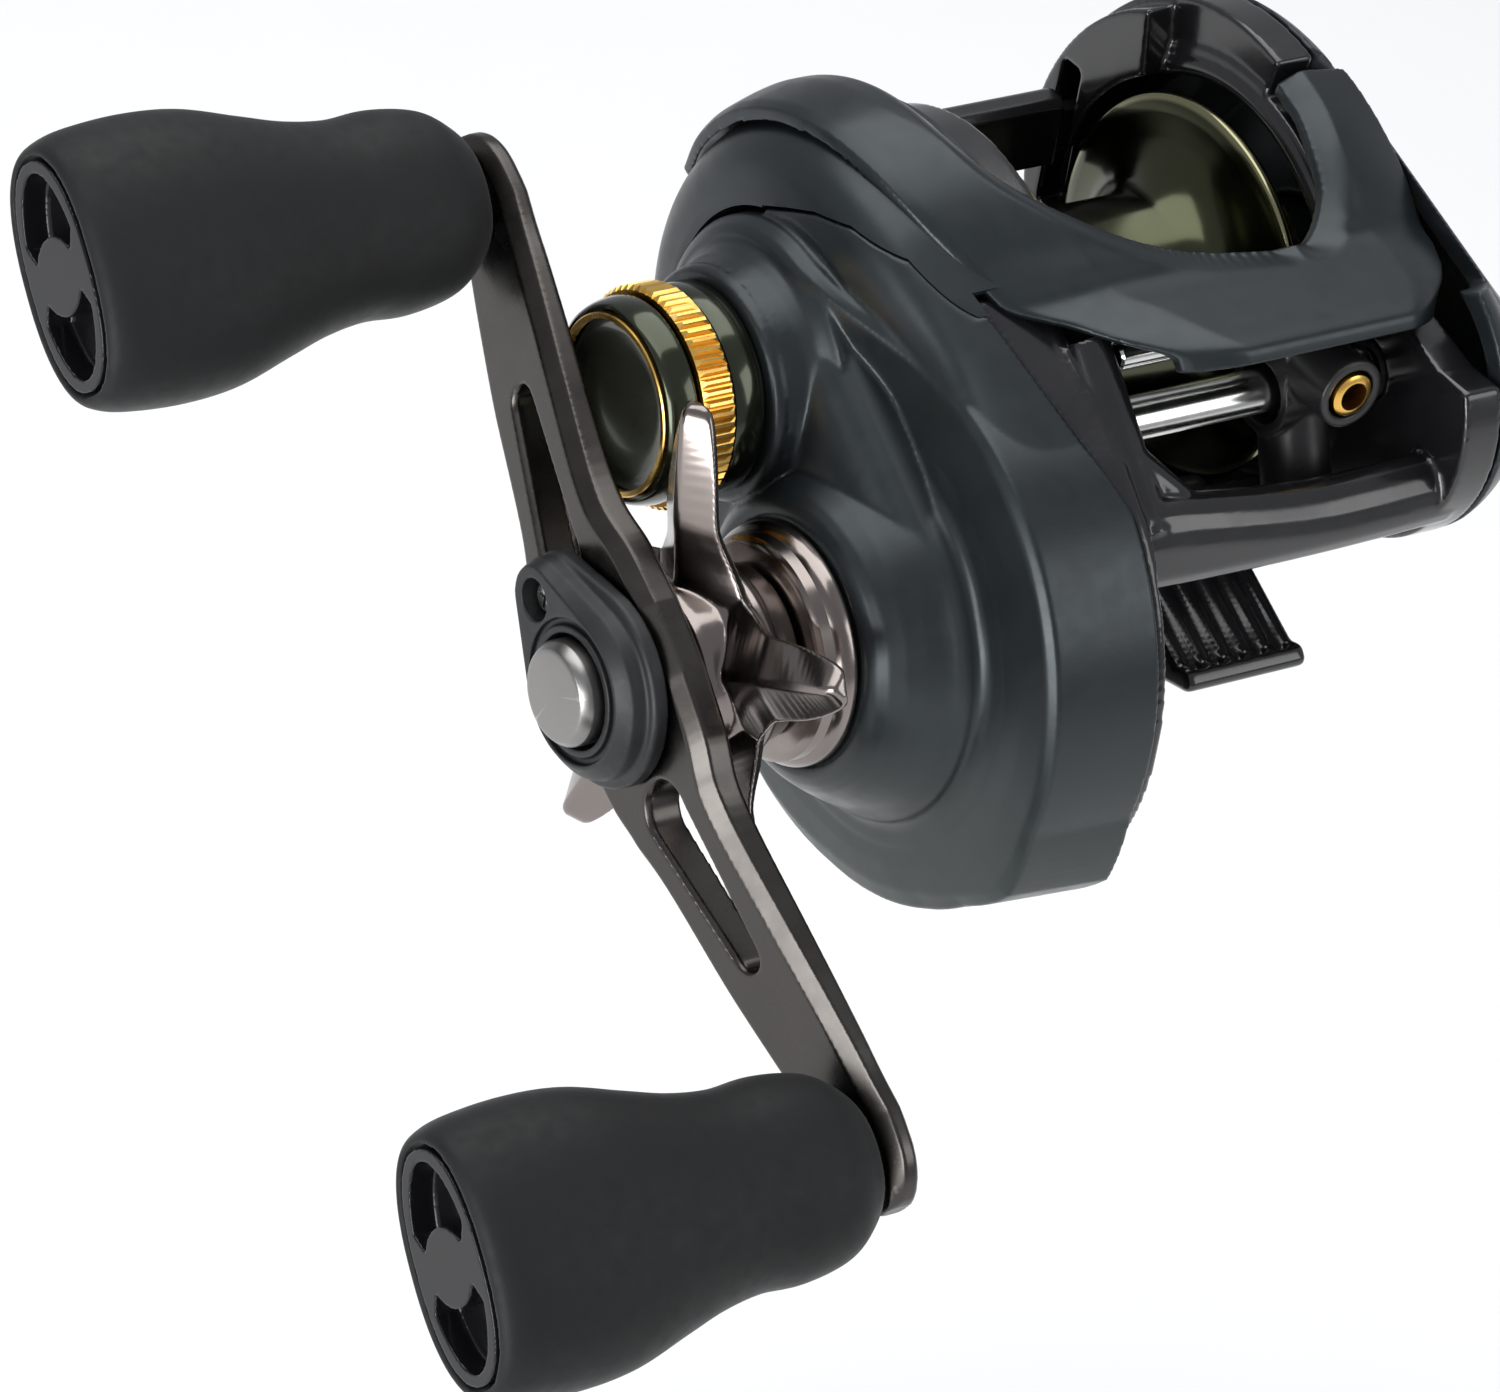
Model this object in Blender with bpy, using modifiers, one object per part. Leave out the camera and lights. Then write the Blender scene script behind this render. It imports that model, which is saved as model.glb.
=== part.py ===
"""Low-profile baitcasting reel, right-hand retrieve, modelled piece by piece.

Units: the constants and the helpers' arguments are millimetres; MM turns them into metres.
Axes: X runs along the spool, with the handle on -X and the palm side on +X. -Y is the front,
where the line leaves, +Y faces the angler, and +Z is up.
Origin: the middle of the flat underside of the foot.
"""
import math

import bmesh
import bpy
from mathutils import Vector

MM = 0.001
GAP = 0.3                       # between touching pieces
MERGE = 0.00002                 # metres, merge distance of modifiers

# --- driving dimensions -------------------------------------------------------------------
SPOOL_Z = 18.6                  # spool axis above the foot's underside
SPOOL = (0.0, SPOOL_Z)          # (y, z) of the spool axis
DRIVE = (-15.6, SPOOL_Z - 14.9)  # (y, z) of the handle and drive gear axis
WORM = (-21.2, SPOOL_Z + 3.5)   # (y, z) of the level-wind worm
GUIDE_ROD = (-20.6, SPOOL_Z + 9.6)  # (y, z) of the rod that steadies the line guide
PALM_REAR = (2.0, SPOOL_Z + 2.2)    # (y, z) of the palm side's large rounding
PALM_FRONT = (-21.5, SPOOL_Z + 2.5)  # (y, z) of the palm side's front rounding
DIAL = (-19.0, SPOOL_Z - 4.5)   # (y, z) of the brake dial

SPOOL_FLANGE_R = 16.0
SPOOL_HALF_WIDTH = 11.5
DRIVE_TEETH = 74
PINION_TEETH = 10
IDLE_TEETH = 52
WORM_GEAR_TEETH = 14
KNURL_TEETH = 36                # round the cast control cap's gold ring

WALL_IN = 13.3                  # inner faces of both frame walls, from the middle
WALL_OUT = 17.8                 # outer face of the handle wall
PALM_OUT = 17.0                 # outer face of the palm wall
COVER_IN = 18.1                 # where the handle side's casing starts
BOSS_END = 36.6                 # outer end of the two bosses on the handle side

KNOB_SPAN = 84.0                # between the two knob axes
ARM_ANGLE = 35.0                # degrees below horizontal, toward the front, at rest
ARM_END_X = -48.5               # outer face of the handle at its ends
ARM_HUB_X = -53.4               # outer face of the handle at its middle
NUT_FACE_X = -59.0              # outer face of the handle nut
KNOB_FACE_X = -86.8             # outer face of a knob's cap
KNOB_INNER_X = -48.9            # inner end of a knob

FOOT_HALF_LENGTH = 31.5
FOOT_WIDTH = 12.0
FOOT_X = -1.6                   # middle of the foot across the reel

# --- collections and materials ------------------------------------------------------------
for old in list(bpy.data.objects):
    bpy.data.objects.remove(old, do_unlink=True)


def collection(name):
    group = bpy.data.collections.new(name)
    bpy.context.scene.collection.children.link(group)
    return group


PARTS = collection("baitcasting_reel")
CUTTERS = collection("cutters")


def material(name, colour, roughness, metallic):
    made = bpy.data.materials.new(name)
    made.use_nodes = True
    shader = made.node_tree.nodes["Principled BSDF"]
    shader.inputs["Base Color"].default_value = (*colour, 1.0)
    shader.inputs["Roughness"].default_value = roughness
    shader.inputs["Metallic"].default_value = metallic
    made.diffuse_color = (*colour, 1.0)
    return made


CHARCOAL = material("charcoal_paint", (0.035, 0.045, 0.052), 0.42, 0.6)
GLOSS_BLACK = material("gloss_black", (0.012, 0.012, 0.014), 0.25, 0.2)
GUNMETAL = material("satin_gunmetal", (0.23, 0.22, 0.21), 0.35, 0.9)
NICKEL = material("polished_nickel", (0.45, 0.40, 0.37), 0.15, 1.0)
SATIN_STEEL = material("satin_steel", (0.42, 0.41, 0.39), 0.3, 1.0)
MATTE_BLACK = material("matte_black", (0.02, 0.021, 0.023), 0.6, 0.0)
RUBBER = material("knob_rubber", (0.016, 0.017, 0.019), 0.75, 0.0)
DARK_GREEN = material("dark_green_anodised", (0.03, 0.037, 0.026), 0.22, 0.9)
GOLD = material("gold_anodised", (0.62, 0.36, 0.08), 0.3, 1.0)
BRONZE_GREEN = material("bronze_green_anodised", (0.11, 0.115, 0.07), 0.2, 1.0)
BRASS = material("brass", (0.6, 0.42, 0.16), 0.3, 1.0)
BRIGHT_STEEL = material("bright_steel", (0.6, 0.6, 0.58), 0.2, 1.0)
CARBON = material("carbon_fibre", (0.04, 0.04, 0.042), 0.5, 0.1)
BLACK_PLASTIC = material("black_plastic", (0.015, 0.015, 0.016), 0.4, 0.0)


# --- helpers ------------------------------------------------------------------------------
def link(thing, finish, group=PARTS):
    if finish:
        thing.data.materials.clear()
        thing.data.materials.append(finish)
    if group is CUTTERS:
        thing.hide_render = True
        thing.display_type = "WIRE"
    group.objects.link(thing)
    return thing


def mesh_object(name, work, finish, group=PARTS):
    mesh = bpy.data.meshes.new(name)
    work.to_mesh(mesh)
    work.free()
    return link(bpy.data.objects.new(name, mesh), finish, group)


def smooth(thing, angle=32.0):
    thing.data.shade_smooth()
    thing.data.set_sharp_from_angle(angle=math.radians(angle))
    return thing


def turned(name, profile, x, axis, finish, steps=40, group=PARTS, ring=False):
    """Turn a profile of (outward, radius) points about the X line through axis = (y, z).

    outward is counted from x toward -X. The profile runs down its outer side, from the
    outermost end; a ring's profile is closed.
    """
    work = bmesh.new()
    points = [work.verts.new((radius * MM, 0.0, outward * MM)) for outward, radius in profile]
    for one, two in zip(points, points[1:]):
        work.edges.new((one, two))
    if ring:
        work.edges.new((points[-1], points[0]))
    thing = mesh_object(name, work, finish, group)
    thing.rotation_euler = (0.0, -math.pi / 2, 0.0)
    thing.location = (x * MM, axis[0] * MM, axis[1] * MM)
    screw = thing.modifiers.new("Turn", "SCREW")
    screw.steps = steps
    screw.render_steps = steps
    screw.use_merge_vertices = True
    screw.merge_threshold = MERGE
    screw.use_smooth_shade = True
    return thing


def ring(name, x_out, x_in, outer, inner, axis, finish, steps=20, group=PARTS, edge=0.0):
    """A washer, tube or bearing ring between two X planes; edge is its outer chamfer."""
    length = x_in - x_out
    profile = [(length, inner), (length, outer), (0.0, outer), (0.0, inner)]
    if edge:
        profile[1:3] = [(length, outer - edge), (length - edge, outer),
                        (edge, outer), (0.0, outer - edge)]
    return turned(name, profile, x_in, axis, finish, steps, group, ring=True)


def rod(name, x_out, x_in, radius, axis, finish, steps=24, group=PARTS, edge=0.2):
    """A solid round bar along X between two X planes."""
    length = x_in - x_out
    profile = [(length, 0.0), (length, radius - edge), (length - edge, radius),
               (edge, radius), (0.0, radius - edge), (0.0, 0.0)]
    return turned(name, profile, x_in, axis, finish, steps, group)


def outline_curve(name, outlines, x_low, x_high):
    """A flat outline in the YZ plane, given thickness along X; later outlines are holes."""
    curve = bpy.data.curves.new(name, "CURVE")
    curve.dimensions = "2D"
    curve.fill_mode = "BOTH"
    curve.extrude = (x_high - x_low) / 2 * MM
    for outline in outlines:
        spline = curve.splines.new("POLY")
        spline.points.add(len(outline) - 1)
        spline.use_cyclic_u = True
        for point, (y, z) in zip(spline.points, outline):
            point.co = (y * MM, z * MM, 0.0, 1.0)
    thing = bpy.data.objects.new(name, curve)
    thing.rotation_euler = (math.pi / 2, 0.0, math.pi / 2)
    thing.location = ((x_low + x_high) / 2 * MM, 0.0, 0.0)
    bpy.context.scene.collection.objects.link(thing)
    return thing


def mesh_from_curve(curve_object, finish, group):
    bpy.context.view_layer.update()
    depsgraph = bpy.context.evaluated_depsgraph_get()
    mesh = bpy.data.meshes.new_from_object(curve_object.evaluated_get(depsgraph))
    mesh.name = curve_object.name
    work = bmesh.new()
    work.from_mesh(mesh)
    bmesh.ops.remove_doubles(work, verts=work.verts, dist=MERGE)
    bmesh.ops.recalc_face_normals(work, faces=work.faces)
    work.to_mesh(mesh)
    work.free()
    name = curve_object.name
    place = curve_object.matrix_world.copy()
    bpy.data.objects.remove(curve_object, do_unlink=True)
    thing = link(bpy.data.objects.new(name, mesh), finish, group)
    thing.matrix_world = place
    return thing


def plate(name, outlines, x_low, x_high, finish, group=PARTS, bevel=0.0):
    """A flat plate with holes, as a mesh."""
    thing = mesh_from_curve(outline_curve(name, outlines, x_low, x_high), finish, group)
    if bevel:
        soften(thing, bevel)
    return thing


def soften(thing, width, segments=1, angle=35.0):
    bevel = thing.modifiers.new("Edges", "BEVEL")
    bevel.width = width * MM
    bevel.segments = segments
    bevel.limit_method = "ANGLE"
    bevel.angle_limit = math.radians(angle)
    return thing


def box(name, low, high, finish, group=PARTS, bevel=0.0):
    work = bmesh.new()
    bmesh.ops.create_cube(work, size=1.0)
    size = [(b - a) * MM for a, b in zip(low, high)]
    middle = [(a + b) / 2 * MM for a, b in zip(low, high)]
    bmesh.ops.scale(work, vec=size, verts=work.verts)
    thing = mesh_object(name, work, finish, group)
    thing.location = middle
    if bevel:
        soften(thing, bevel)
    return thing


def pin(name, start, end, radius, finish, steps=16, group=PARTS, end_radius=None):
    """A round bar between two points in any direction."""
    work = bmesh.new()
    first, last = Vector(start) * MM, Vector(end) * MM
    bmesh.ops.create_cone(work, cap_ends=True, segments=steps, radius1=radius * MM,
                          radius2=(end_radius or radius) * MM, depth=(last - first).length)
    thing = mesh_object(name, work, finish, group)
    thing.rotation_euler = (last - first).to_track_quat("Z", "Y").to_euler()
    thing.location = (first + last) / 2
    return smooth(thing)


def loft(name, sections, finish, group=PARTS, cap=True):
    """Join closed loops of (x, y, z) points, each with the same number of points."""
    work = bmesh.new()
    loops = [[work.verts.new(Vector(point) * MM) for point in section] for section in sections]
    for one, two in zip(loops, loops[1:]):
        count = len(one)
        for index in range(count):
            after = (index + 1) % count
            work.faces.new((one[index], one[after], two[after], two[index]))
    if cap:
        work.faces.new(loops[0])
        work.faces.new(loops[-1])
    bmesh.ops.recalc_face_normals(work, faces=work.faces)
    return mesh_object(name, work, finish, group)


def cut(thing, *cutters, operation="DIFFERENCE"):
    for cutter in cutters:
        boolean = thing.modifiers.new(cutter.name, "BOOLEAN")
        boolean.operation = operation
        boolean.object = cutter
    return thing


def join(thing, *others):
    return cut(thing, *others, operation="UNION")


def circle(centre, radius, count=36):
    return [(centre[0] + radius * math.cos(math.tau * k / count),
             centre[1] + radius * math.sin(math.tau * k / count)) for k in range(count)]


def hull(*circles, count=64):
    """The outline that a belt round circles given as (centre, radius) would take."""
    points = []
    for k in range(count):
        turn = math.tau * k / count
        way = Vector((math.cos(turn), math.sin(turn)))
        centre, radius = max(circles, key=lambda item: Vector(item[0]).dot(way) + item[1])
        points.append((centre[0] + radius * way.x, centre[1] + radius * way.y))
    return points


def side(spool_radius, drive_radius, count=40):
    """An outline of the handle side: a belt round the spool's and the drive gear's axes."""
    return hull((SPOOL, spool_radius), (DRIVE, drive_radius), count=count)


def rim(spool_radius, drive_radius, corner=0.0, flat=0.0, count=36):
    """The gear cover's outline: a corner at the lower front, and a flatter stretch below it."""
    points = []
    for k, (y, z) in enumerate(side(spool_radius, drive_radius, count)):
        turn = 360.0 * k / count
        grow = corner * max(0.0, 1.0 - abs(turn - CORNER_TURN) / CORNER_SPREAD)
        shrink = flat * max(0.0, 1.0 - abs(turn - FLAT_TURN) / FLAT_SPREAD)
        reach = grow - min(shrink, 0.6 * flat)
        points.append((y + reach * math.cos(math.radians(turn)),
                       z + reach * math.sin(math.radians(turn))))
    return points


def section(x, outline):
    return [(x, y, z) for y, z in outline]


def toward(one, two):
    return math.atan2(two[1] - one[1], two[0] - one[0])


def distance(one, two):
    return math.hypot(two[0] - one[0], two[1] - one[1])


# --- gears --------------------------------------------------------------------------------
PRESSURE = math.radians(25.0)


def involute(angle):
    return math.tan(angle) - angle


def gear_outline(centre, teeth, module, aim, tooth_at_aim, backlash=0.16):
    """Involute spur teeth; a tooth, or else a gap, points along the angle aim."""
    pitch = teeth * module / 2
    base = pitch * math.cos(PRESSURE)
    root = pitch - 1.1 * module
    tip = pitch + 0.75 * module
    half = (math.pi * module / 2 - backlash) / 2 / pitch
    step = math.tau / teeth
    start = aim if tooth_at_aim else aim + step / 2
    radii = [max(base, root + 0.02), tip]
    points = []
    for tooth in range(teeth):
        middle = start + tooth * step
        flank = []
        for radius in radii:
            angle = math.acos(min(1.0, base / radius))
            flank.append((radius, half + involute(PRESSURE) - involute(angle)))
        flank[0] = (root, flank[0][1])
        for radius, spread in flank:
            points.append((radius, middle - spread))
        for radius, spread in reversed(flank):
            points.append((radius, middle + spread))
    return [(centre[0] + r * math.cos(a), centre[1] + r * math.sin(a)) for r, a in points]


def gear(name, centre, teeth, module, aim, tooth_at_aim, x_low, x_high, bore, finish):
    outline = gear_outline(centre, teeth, module, aim, tooth_at_aim)
    return plate(name, [outline, circle(centre, bore, 16)], x_low, x_high, finish)


# --- frame with foot ----------------------------------------------------------------------
BEARING_BORE = 5.1
BUSH_BORE = 2.7


def palm(shrink=0.0, lean=0.0):
    """An outline of the palm side; lean moves it toward the lower front."""
    rear = (PALM_REAR[0] - lean, PALM_REAR[1] - lean)
    front = (PALM_FRONT[0], PALM_FRONT[1] - lean / 2)
    return hull((rear, 20.9 - shrink), (front, 13.0 - shrink), count=42)


def foot_outline():
    """Side view of the foot: flat below with lifted tips, ramps rising toward the middle."""
    tip, ramp_end = FOOT_HALF_LENGTH, 14.5
    half = [(24.0, 0.0), (tip - 0.6, 1.4), (tip, 2.2), (tip - 1.0, 3.4), (ramp_end, 10.2), (9.5, 6.6)]
    mirrored = [(-y, z) for y, z in reversed(half)]
    return half + [(0.0, 1.5)] + mirrored


def arc(centre, radius, first, last, count):
    turns = [math.radians(first + (last - first) * k / (count - 1)) for k in range(count)]
    return [(centre[0] + radius * math.cos(t), centre[1] + radius * math.sin(t)) for t in turns]


def bridge_outline():
    """The arc under the spool that ties both walls to the foot."""
    return arc(SPOOL, 16.9, -138, -42, 17) + arc(SPOOL, 18.3, -42, -138, 17)


def cheek_wedge(name, slack):
    """The slanted block between the gear cover's front edge and the frame."""
    along = Vector((0.69, 0.72))
    across = Vector((-0.6, 0.8))
    low = Vector((-34.0, SPOOL_Z - 3.0)) - along * slack
    high = Vector((-16.4, SPOOL_Z + 12.5)) + along * (2.0 + slack)
    loops = []
    for reach in (-4.5, 9.0):
        corners = []
        for x, spot in ((-16.6, low), (-23.4 - slack, high), (-16.6, high)):
            place = spot + across * reach
            corners.append((x - slack if x < -20 else x, place.x, place.y))
        loops.append(corners)
    return loft(name, loops, None, CUTTERS)


def build_frame():
    frame = plate("frame", [side(19.3, 23.9)], -WALL_OUT, 0.8 - WALL_OUT, GLOSS_BLACK)
    pad = plate("wall_pad", [hull((SPOOL, 19.0), (DRIVE, 9.0), (WORM, 4.5), count=44)],
                -17.4, -WALL_IN, None, CUTTERS)
    holes = [rod("pinion_bearing_bore", -20.0, -10.0, 6.0, SPOOL, None, 24, CUTTERS),
             rod("drive_bearing_bore", -20.0, -10.0, BEARING_BORE, DRIVE, None, 20, CUTTERS),
             rod("worm_bush_bore", -20.0, -10.0, BUSH_BORE, WORM, None, 20, CUTTERS)]
    wall = plate("palm_wall", [palm(), circle(SPOOL, 17.0, 36), circle(WORM, BUSH_BORE, 16)],
                 WALL_IN, PALM_OUT, None, CUTTERS)
    rear_block = plate("thumb_block", [arc(SPOOL, 17.3, -25, 72, 13)
                                       + arc(PALM_REAR, 20.0, 72, -25, 13)],
                       9.6, 14.0, None, CUTTERS)
    bridge = plate("bridge", [bridge_outline()], -15.0, 15.0, None, CUTTERS)
    foot = plate("foot", [foot_outline()], FOOT_X - FOOT_WIDTH / 2, FOOT_X + FOOT_WIDTH / 2,
                 None, CUTTERS)
    bar = box("front_bar", (-16.5, -33.6, SPOOL_Z - 4.8), (15.0, -29.2, SPOOL_Z + 0.6), None,
              CUTTERS, 1.2)
    tie = box("rear_tie", (-14.6, 15.0, 4.5), (14.6, 18.6, 7.5), None, CUTTERS, 0.5)
    lip_seat = [(y, SPOOL_Z + z) for y, z in ((-19.5, 10.6), (-24.0, 9.5), (-29.5, 8.0),
                                              (-36.0, 8.0), (-36.0, 16.0))]
    hood_seat = plate("hood_seat", [arc(SPOOL, 19.3, 99, 146, 8) + lip_seat
                                    + arc(SPOOL, 32, 146, 99, 6)], 12.0, 19.6, None, CUTTERS)
    slot = box("thumb_slot", (8.0, 16.9, SPOOL_Z - 2.5), (13.0, 19.3, SPOOL_Z + 11.0), None, CUTTERS)
    slot_left = box("thumb_slot_left", (-14.6, 16.9, SPOOL_Z - 2.5),
                    (-12.0, 19.3, SPOOL_Z + 9.4), None, CUTTERS)
    grooves = [pin(f"foot_groove_{index}", (FOOT_X + x, -31.2, 3.0), (FOOT_X + x, -17.0, 9.4),
                   0.5, None, 6, CUTTERS) for index, x in enumerate((-3.9, -1.3, 1.3, 3.9))]
    join(frame, pad, wall, rear_block, bridge, foot, bar, tie)
    return cut(frame, hood_seat, slot, slot_left, *holes, *grooves)


build_frame()


# --- casing on the handle side ------------------------------------------------------------
CORNER_TURN = 210.0             # degrees, where the gear cover's rim has its corner
CORNER_SPREAD = 16.0
FLAT_TURN = 255.0               # degrees, where the rim is flattened
FLAT_SPREAD = 40.0


def build_casing():
    housing = loft("gear_housing", [section(-COVER_IN, side(19.8, 24.3)),
                                    section(-24.5, side(19.4, 24.1)),
                                    section(-28.2, side(18.2, 22.0)),
                                    section(-29.6, side(15.5, 20.0))], CHARCOAL)
    hollow = loft("housing_hollow", [section(-10.0, side(17.9, 22.6)),
                                     section(-25.8, side(17.6, 22.6)),
                                     section(-27.0, side(16.0, 20.0))], None, CUTTERS)
    room = plate("cover_room", [side(13.5, 24.8)], -40.0, -10.0, None, CUTTERS)
    cut(housing, hollow, room, cheek_wedge("housing_wedge", 0.3))

    cover = loft("gear_cover", [section(-COVER_IN, rim(13.2, 24.5, 1.5)),
                                section(-27.3, rim(12.9, 24.1, 1.1, 1.2)),
                                section(-28.3, rim(12.4, 23.3, 0.9, 2.6)),
                                section(-29.9, rim(11.6, 17.2))], CHARCOAL)
    length = BOSS_END - 27.0
    drag_boss = turned("drag_boss", [(length, 0.0), (length, 11.4), (length - 0.6, 12.0),
                                     (7.0, 13.6), (4.6, 15.2), (3.1, 16.1), (0.0, 16.3), (0.0, 0.0)],
                       -27.0, DRIVE, None, 36, CUTTERS)
    cap_boss = turned("cap_boss", [(length + 5.2, 0.0), (length + 5.2, 6.3), (length, 6.3),
                                   (length, 9.3), (length - 0.5, 9.6), (6.4, 10.2),
                                   (2.8, 11.6), (0.0, 11.6), (0.0, 0.0)],
                      -27.0, SPOOL, None, 32, CUTTERS)
    web = loft("boss_web", [section(-28.0, side(10.6, 14.6, 24)), section(-32.6, side(9.4, 12.4, 24)),
                            section(-34.2, side(7.6, 9.6, 24))], None, CUTTERS)
    gear_room = loft("gear_room", [section(-10.0, side(11.9, 23.1)),
                                   section(-25.0, side(11.7, 23.0)),
                                   section(-25.3, side(10.5, 21.4)),
                                   section(-26.9, side(10.0, 15.0))], None, CUTTERS)
    clutch_bore = rod("clutch_bore", -45.0, -26.0, 7.4, DRIVE, None, 26, CUTTERS)
    spool_bore = turned("spool_bore", [(20.0, 0.0), (20.0, 4.2), (13.5, 4.2), (13.5, 4.7),
                                       (0.0, 4.7), (0.0, 0.0)], -24.0, SPOOL, None, 22, CUTTERS)
    cut(cover, cheek_wedge("cover_wedge", 0.3))
    join(cover, web, drag_boss, cap_boss)
    cut(cover, gear_room, clutch_bore, spool_bore)


build_casing()


# --- top hood -----------------------------------------------------------------------------
HOOD_FALL_REAR = 3.0            # how far the hood's edge drops over the handle side
HOOD_FALL_FRONT = 1.6
HOOD_FALL_PALM = 2.0
HOOD_FALL_INNER = 1.9           # at an arm's inner edge, beside the spool


def hood_rows():
    """(y, z, outer x, inner x, palm inner x, palm outer x) from the rear over to the front lip.

    The inner x values are None where the hood spans the whole width.
    """
    rows = []
    for angle, left in ((20, -27.2), (32, -28.0), (44, -28.4), (56, -28.6), (68, -28.8),
                        (79, -28.8), (90, -28.6)):
        spot = arc(SPOOL, 22.7, angle, angle, 2)[0]
        rows.append((*spot, left, -19.4, None, None))
    for angle, left, inner, palm_inner, palm_outer in ((101, -28.0, -19.0, 14.8, 17.6),
                                                       (111, -27.3, -17.6, 13.6, 18.6),
                                                       (120, -26.4, -14.6, 12.9, 19.6),
                                                       (129, -25.4, -10.0, 12.0, 20.2),
                                                       (137, -24.0, -4.2, 10.8, 20.4)):
        spot = arc(SPOOL, 22.7, angle, angle, 2)[0]
        rows.append((*spot, left, inner, palm_inner, palm_outer))
    lip = ((-18.2, 14.2, -21.8, 20.2), (-21.2, 13.8, -17.6, 19.4), (-24.6, 13.4, -14.4, 18.0),
           (-27.4, 12.9, -11.2, 15.6), (-28.2, 11.6, -10.6, 15.0))
    for y, z, left, right in lip:
        rows.append((y, SPOOL_Z + z, left, None, None, right))
    return rows


def hood_drop(share, steep, inner_edge):
    """How far the hood's surface falls below its crest, across an arm."""
    fall = max(0.0, share - 0.42) / 0.58
    return steep * fall ** 1.7 + inner_edge * max(0.0, 0.15 - share) / 0.15


def build_hood():
    work = bmesh.new()
    left_count, middle_count, palm_count = 6, 8, 5
    grid = []
    for y, z, left, inner, palm_inner, palm_outer in hood_rows():
        down = Vector((y - SPOOL[0], z - SPOOL[1])).normalized()
        line = []
        whole = inner is None
        inner_edge = 0.0 if whole else HOOD_FALL_INNER
        left_stop = inner if not whole else left + (palm_outer - left) * 0.36
        palm_start = palm_inner
        if whole:
            palm_start = left + (palm_outer - left) * 0.72
        for k in range(left_count + 1):
            share = k / left_count
            x = left_stop + (left - left_stop) * (1 - share)
            fall = hood_drop(1 - share, HOOD_FALL_REAR if y > -7.0 else HOOD_FALL_FRONT, inner_edge)
            line.append((x, y - down.x * fall, z - down.y * fall))
        if whole:
            for k in range(1, middle_count):
                x = left_stop + (palm_start - left_stop) * k / middle_count
                line.append((x, y, z))
        else:
            line += [None] * (middle_count - 1)
        for k in range(palm_count + 1):
            share = k / palm_count
            if palm_start is None:
                line.append(None)
                continue
            x = palm_start + (palm_outer - palm_start) * share
            fall = hood_drop(share, HOOD_FALL_PALM, inner_edge)
            line.append((x, y - down.x * fall, z - down.y * fall))
        grid.append([work.verts.new(Vector(spot) * MM) if spot else None for spot in line])
    for one, two in zip(grid, grid[1:]):
        for a, b, c, d in zip(one, one[1:], two[1:], two):
            if a and b and c and d:
                work.faces.new((a, b, c, d))
    bmesh.ops.recalc_face_normals(work, faces=work.faces)
    if sum(face.normal.z for face in work.faces) < 0:
        bmesh.ops.reverse_faces(work, faces=work.faces)
    hood = mesh_object("top_hood", work, CHARCOAL)
    shell = hood.modifiers.new("Shell", "SOLIDIFY")
    shell.thickness = 1.1 * MM
    shell.offset = -1.0
    shell.use_even_offset = True
    return smooth(hood)


build_hood()


# --- palm side ----------------------------------------------------------------------------
def build_palm_side():
    cover = loft("palm_side_plate", [section(PALM_OUT + GAP, palm(0.0)), section(19.2, palm(0.9, 0.4)),
                                     section(22.0, palm(2.9, 1.6)), section(24.2, palm(5.0, 2.4)),
                                     section(25.4, palm(7.4, 2.8))], CHARCOAL)
    hollow = loft("palm_hollow", [section(16.0, palm(1.9)), section(19.0, palm(2.6, 0.4)),
                                  section(21.6, palm(4.5, 1.6)), section(23.2, palm(6.4, 2.4))],
                  None, CUTTERS)
    hub = rod("palm_hub", 19.4, 24.6, 5.4, SPOOL, None, 24, CUTTERS, edge=0.3)
    hub_bore = rod("palm_hub_bore", 15.0, 23.2, 4.3, SPOOL, None, 22, CUTTERS)
    dial_window = rod("dial_window", 16.9, 30.0, 6.4, DIAL, None, 34, CUTTERS)
    hood_room = plate("hood_room", [arc(SPOOL, 19.2, 97, 154, 11) + arc(SPOOL, 31, 154, 97, 11)],
                      12.0, 21.3, None, CUTTERS)
    cut(cover, hollow)
    join(cover, hub)
    cut(cover, hub_bore, dial_window, hood_room)

    dial = ring("brake_dial", 18.9, 25.9, 6.0, 2.0, DIAL, MATTE_BLACK, 30, edge=0.4)
    rod("brake_dial_pin", 18.2, 25.6, 1.6, DIAL, BRIGHT_STEEL, 14)
    ring("spool_bearing_palm", 20.3, 22.8, 3.9, 1.8, SPOOL, BRIGHT_STEEL)
    ring("brake_drum", 13.0, 17.6, 8.4, 7.4, SPOOL, BRASS, 26)
    return dial


build_palm_side()


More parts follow.
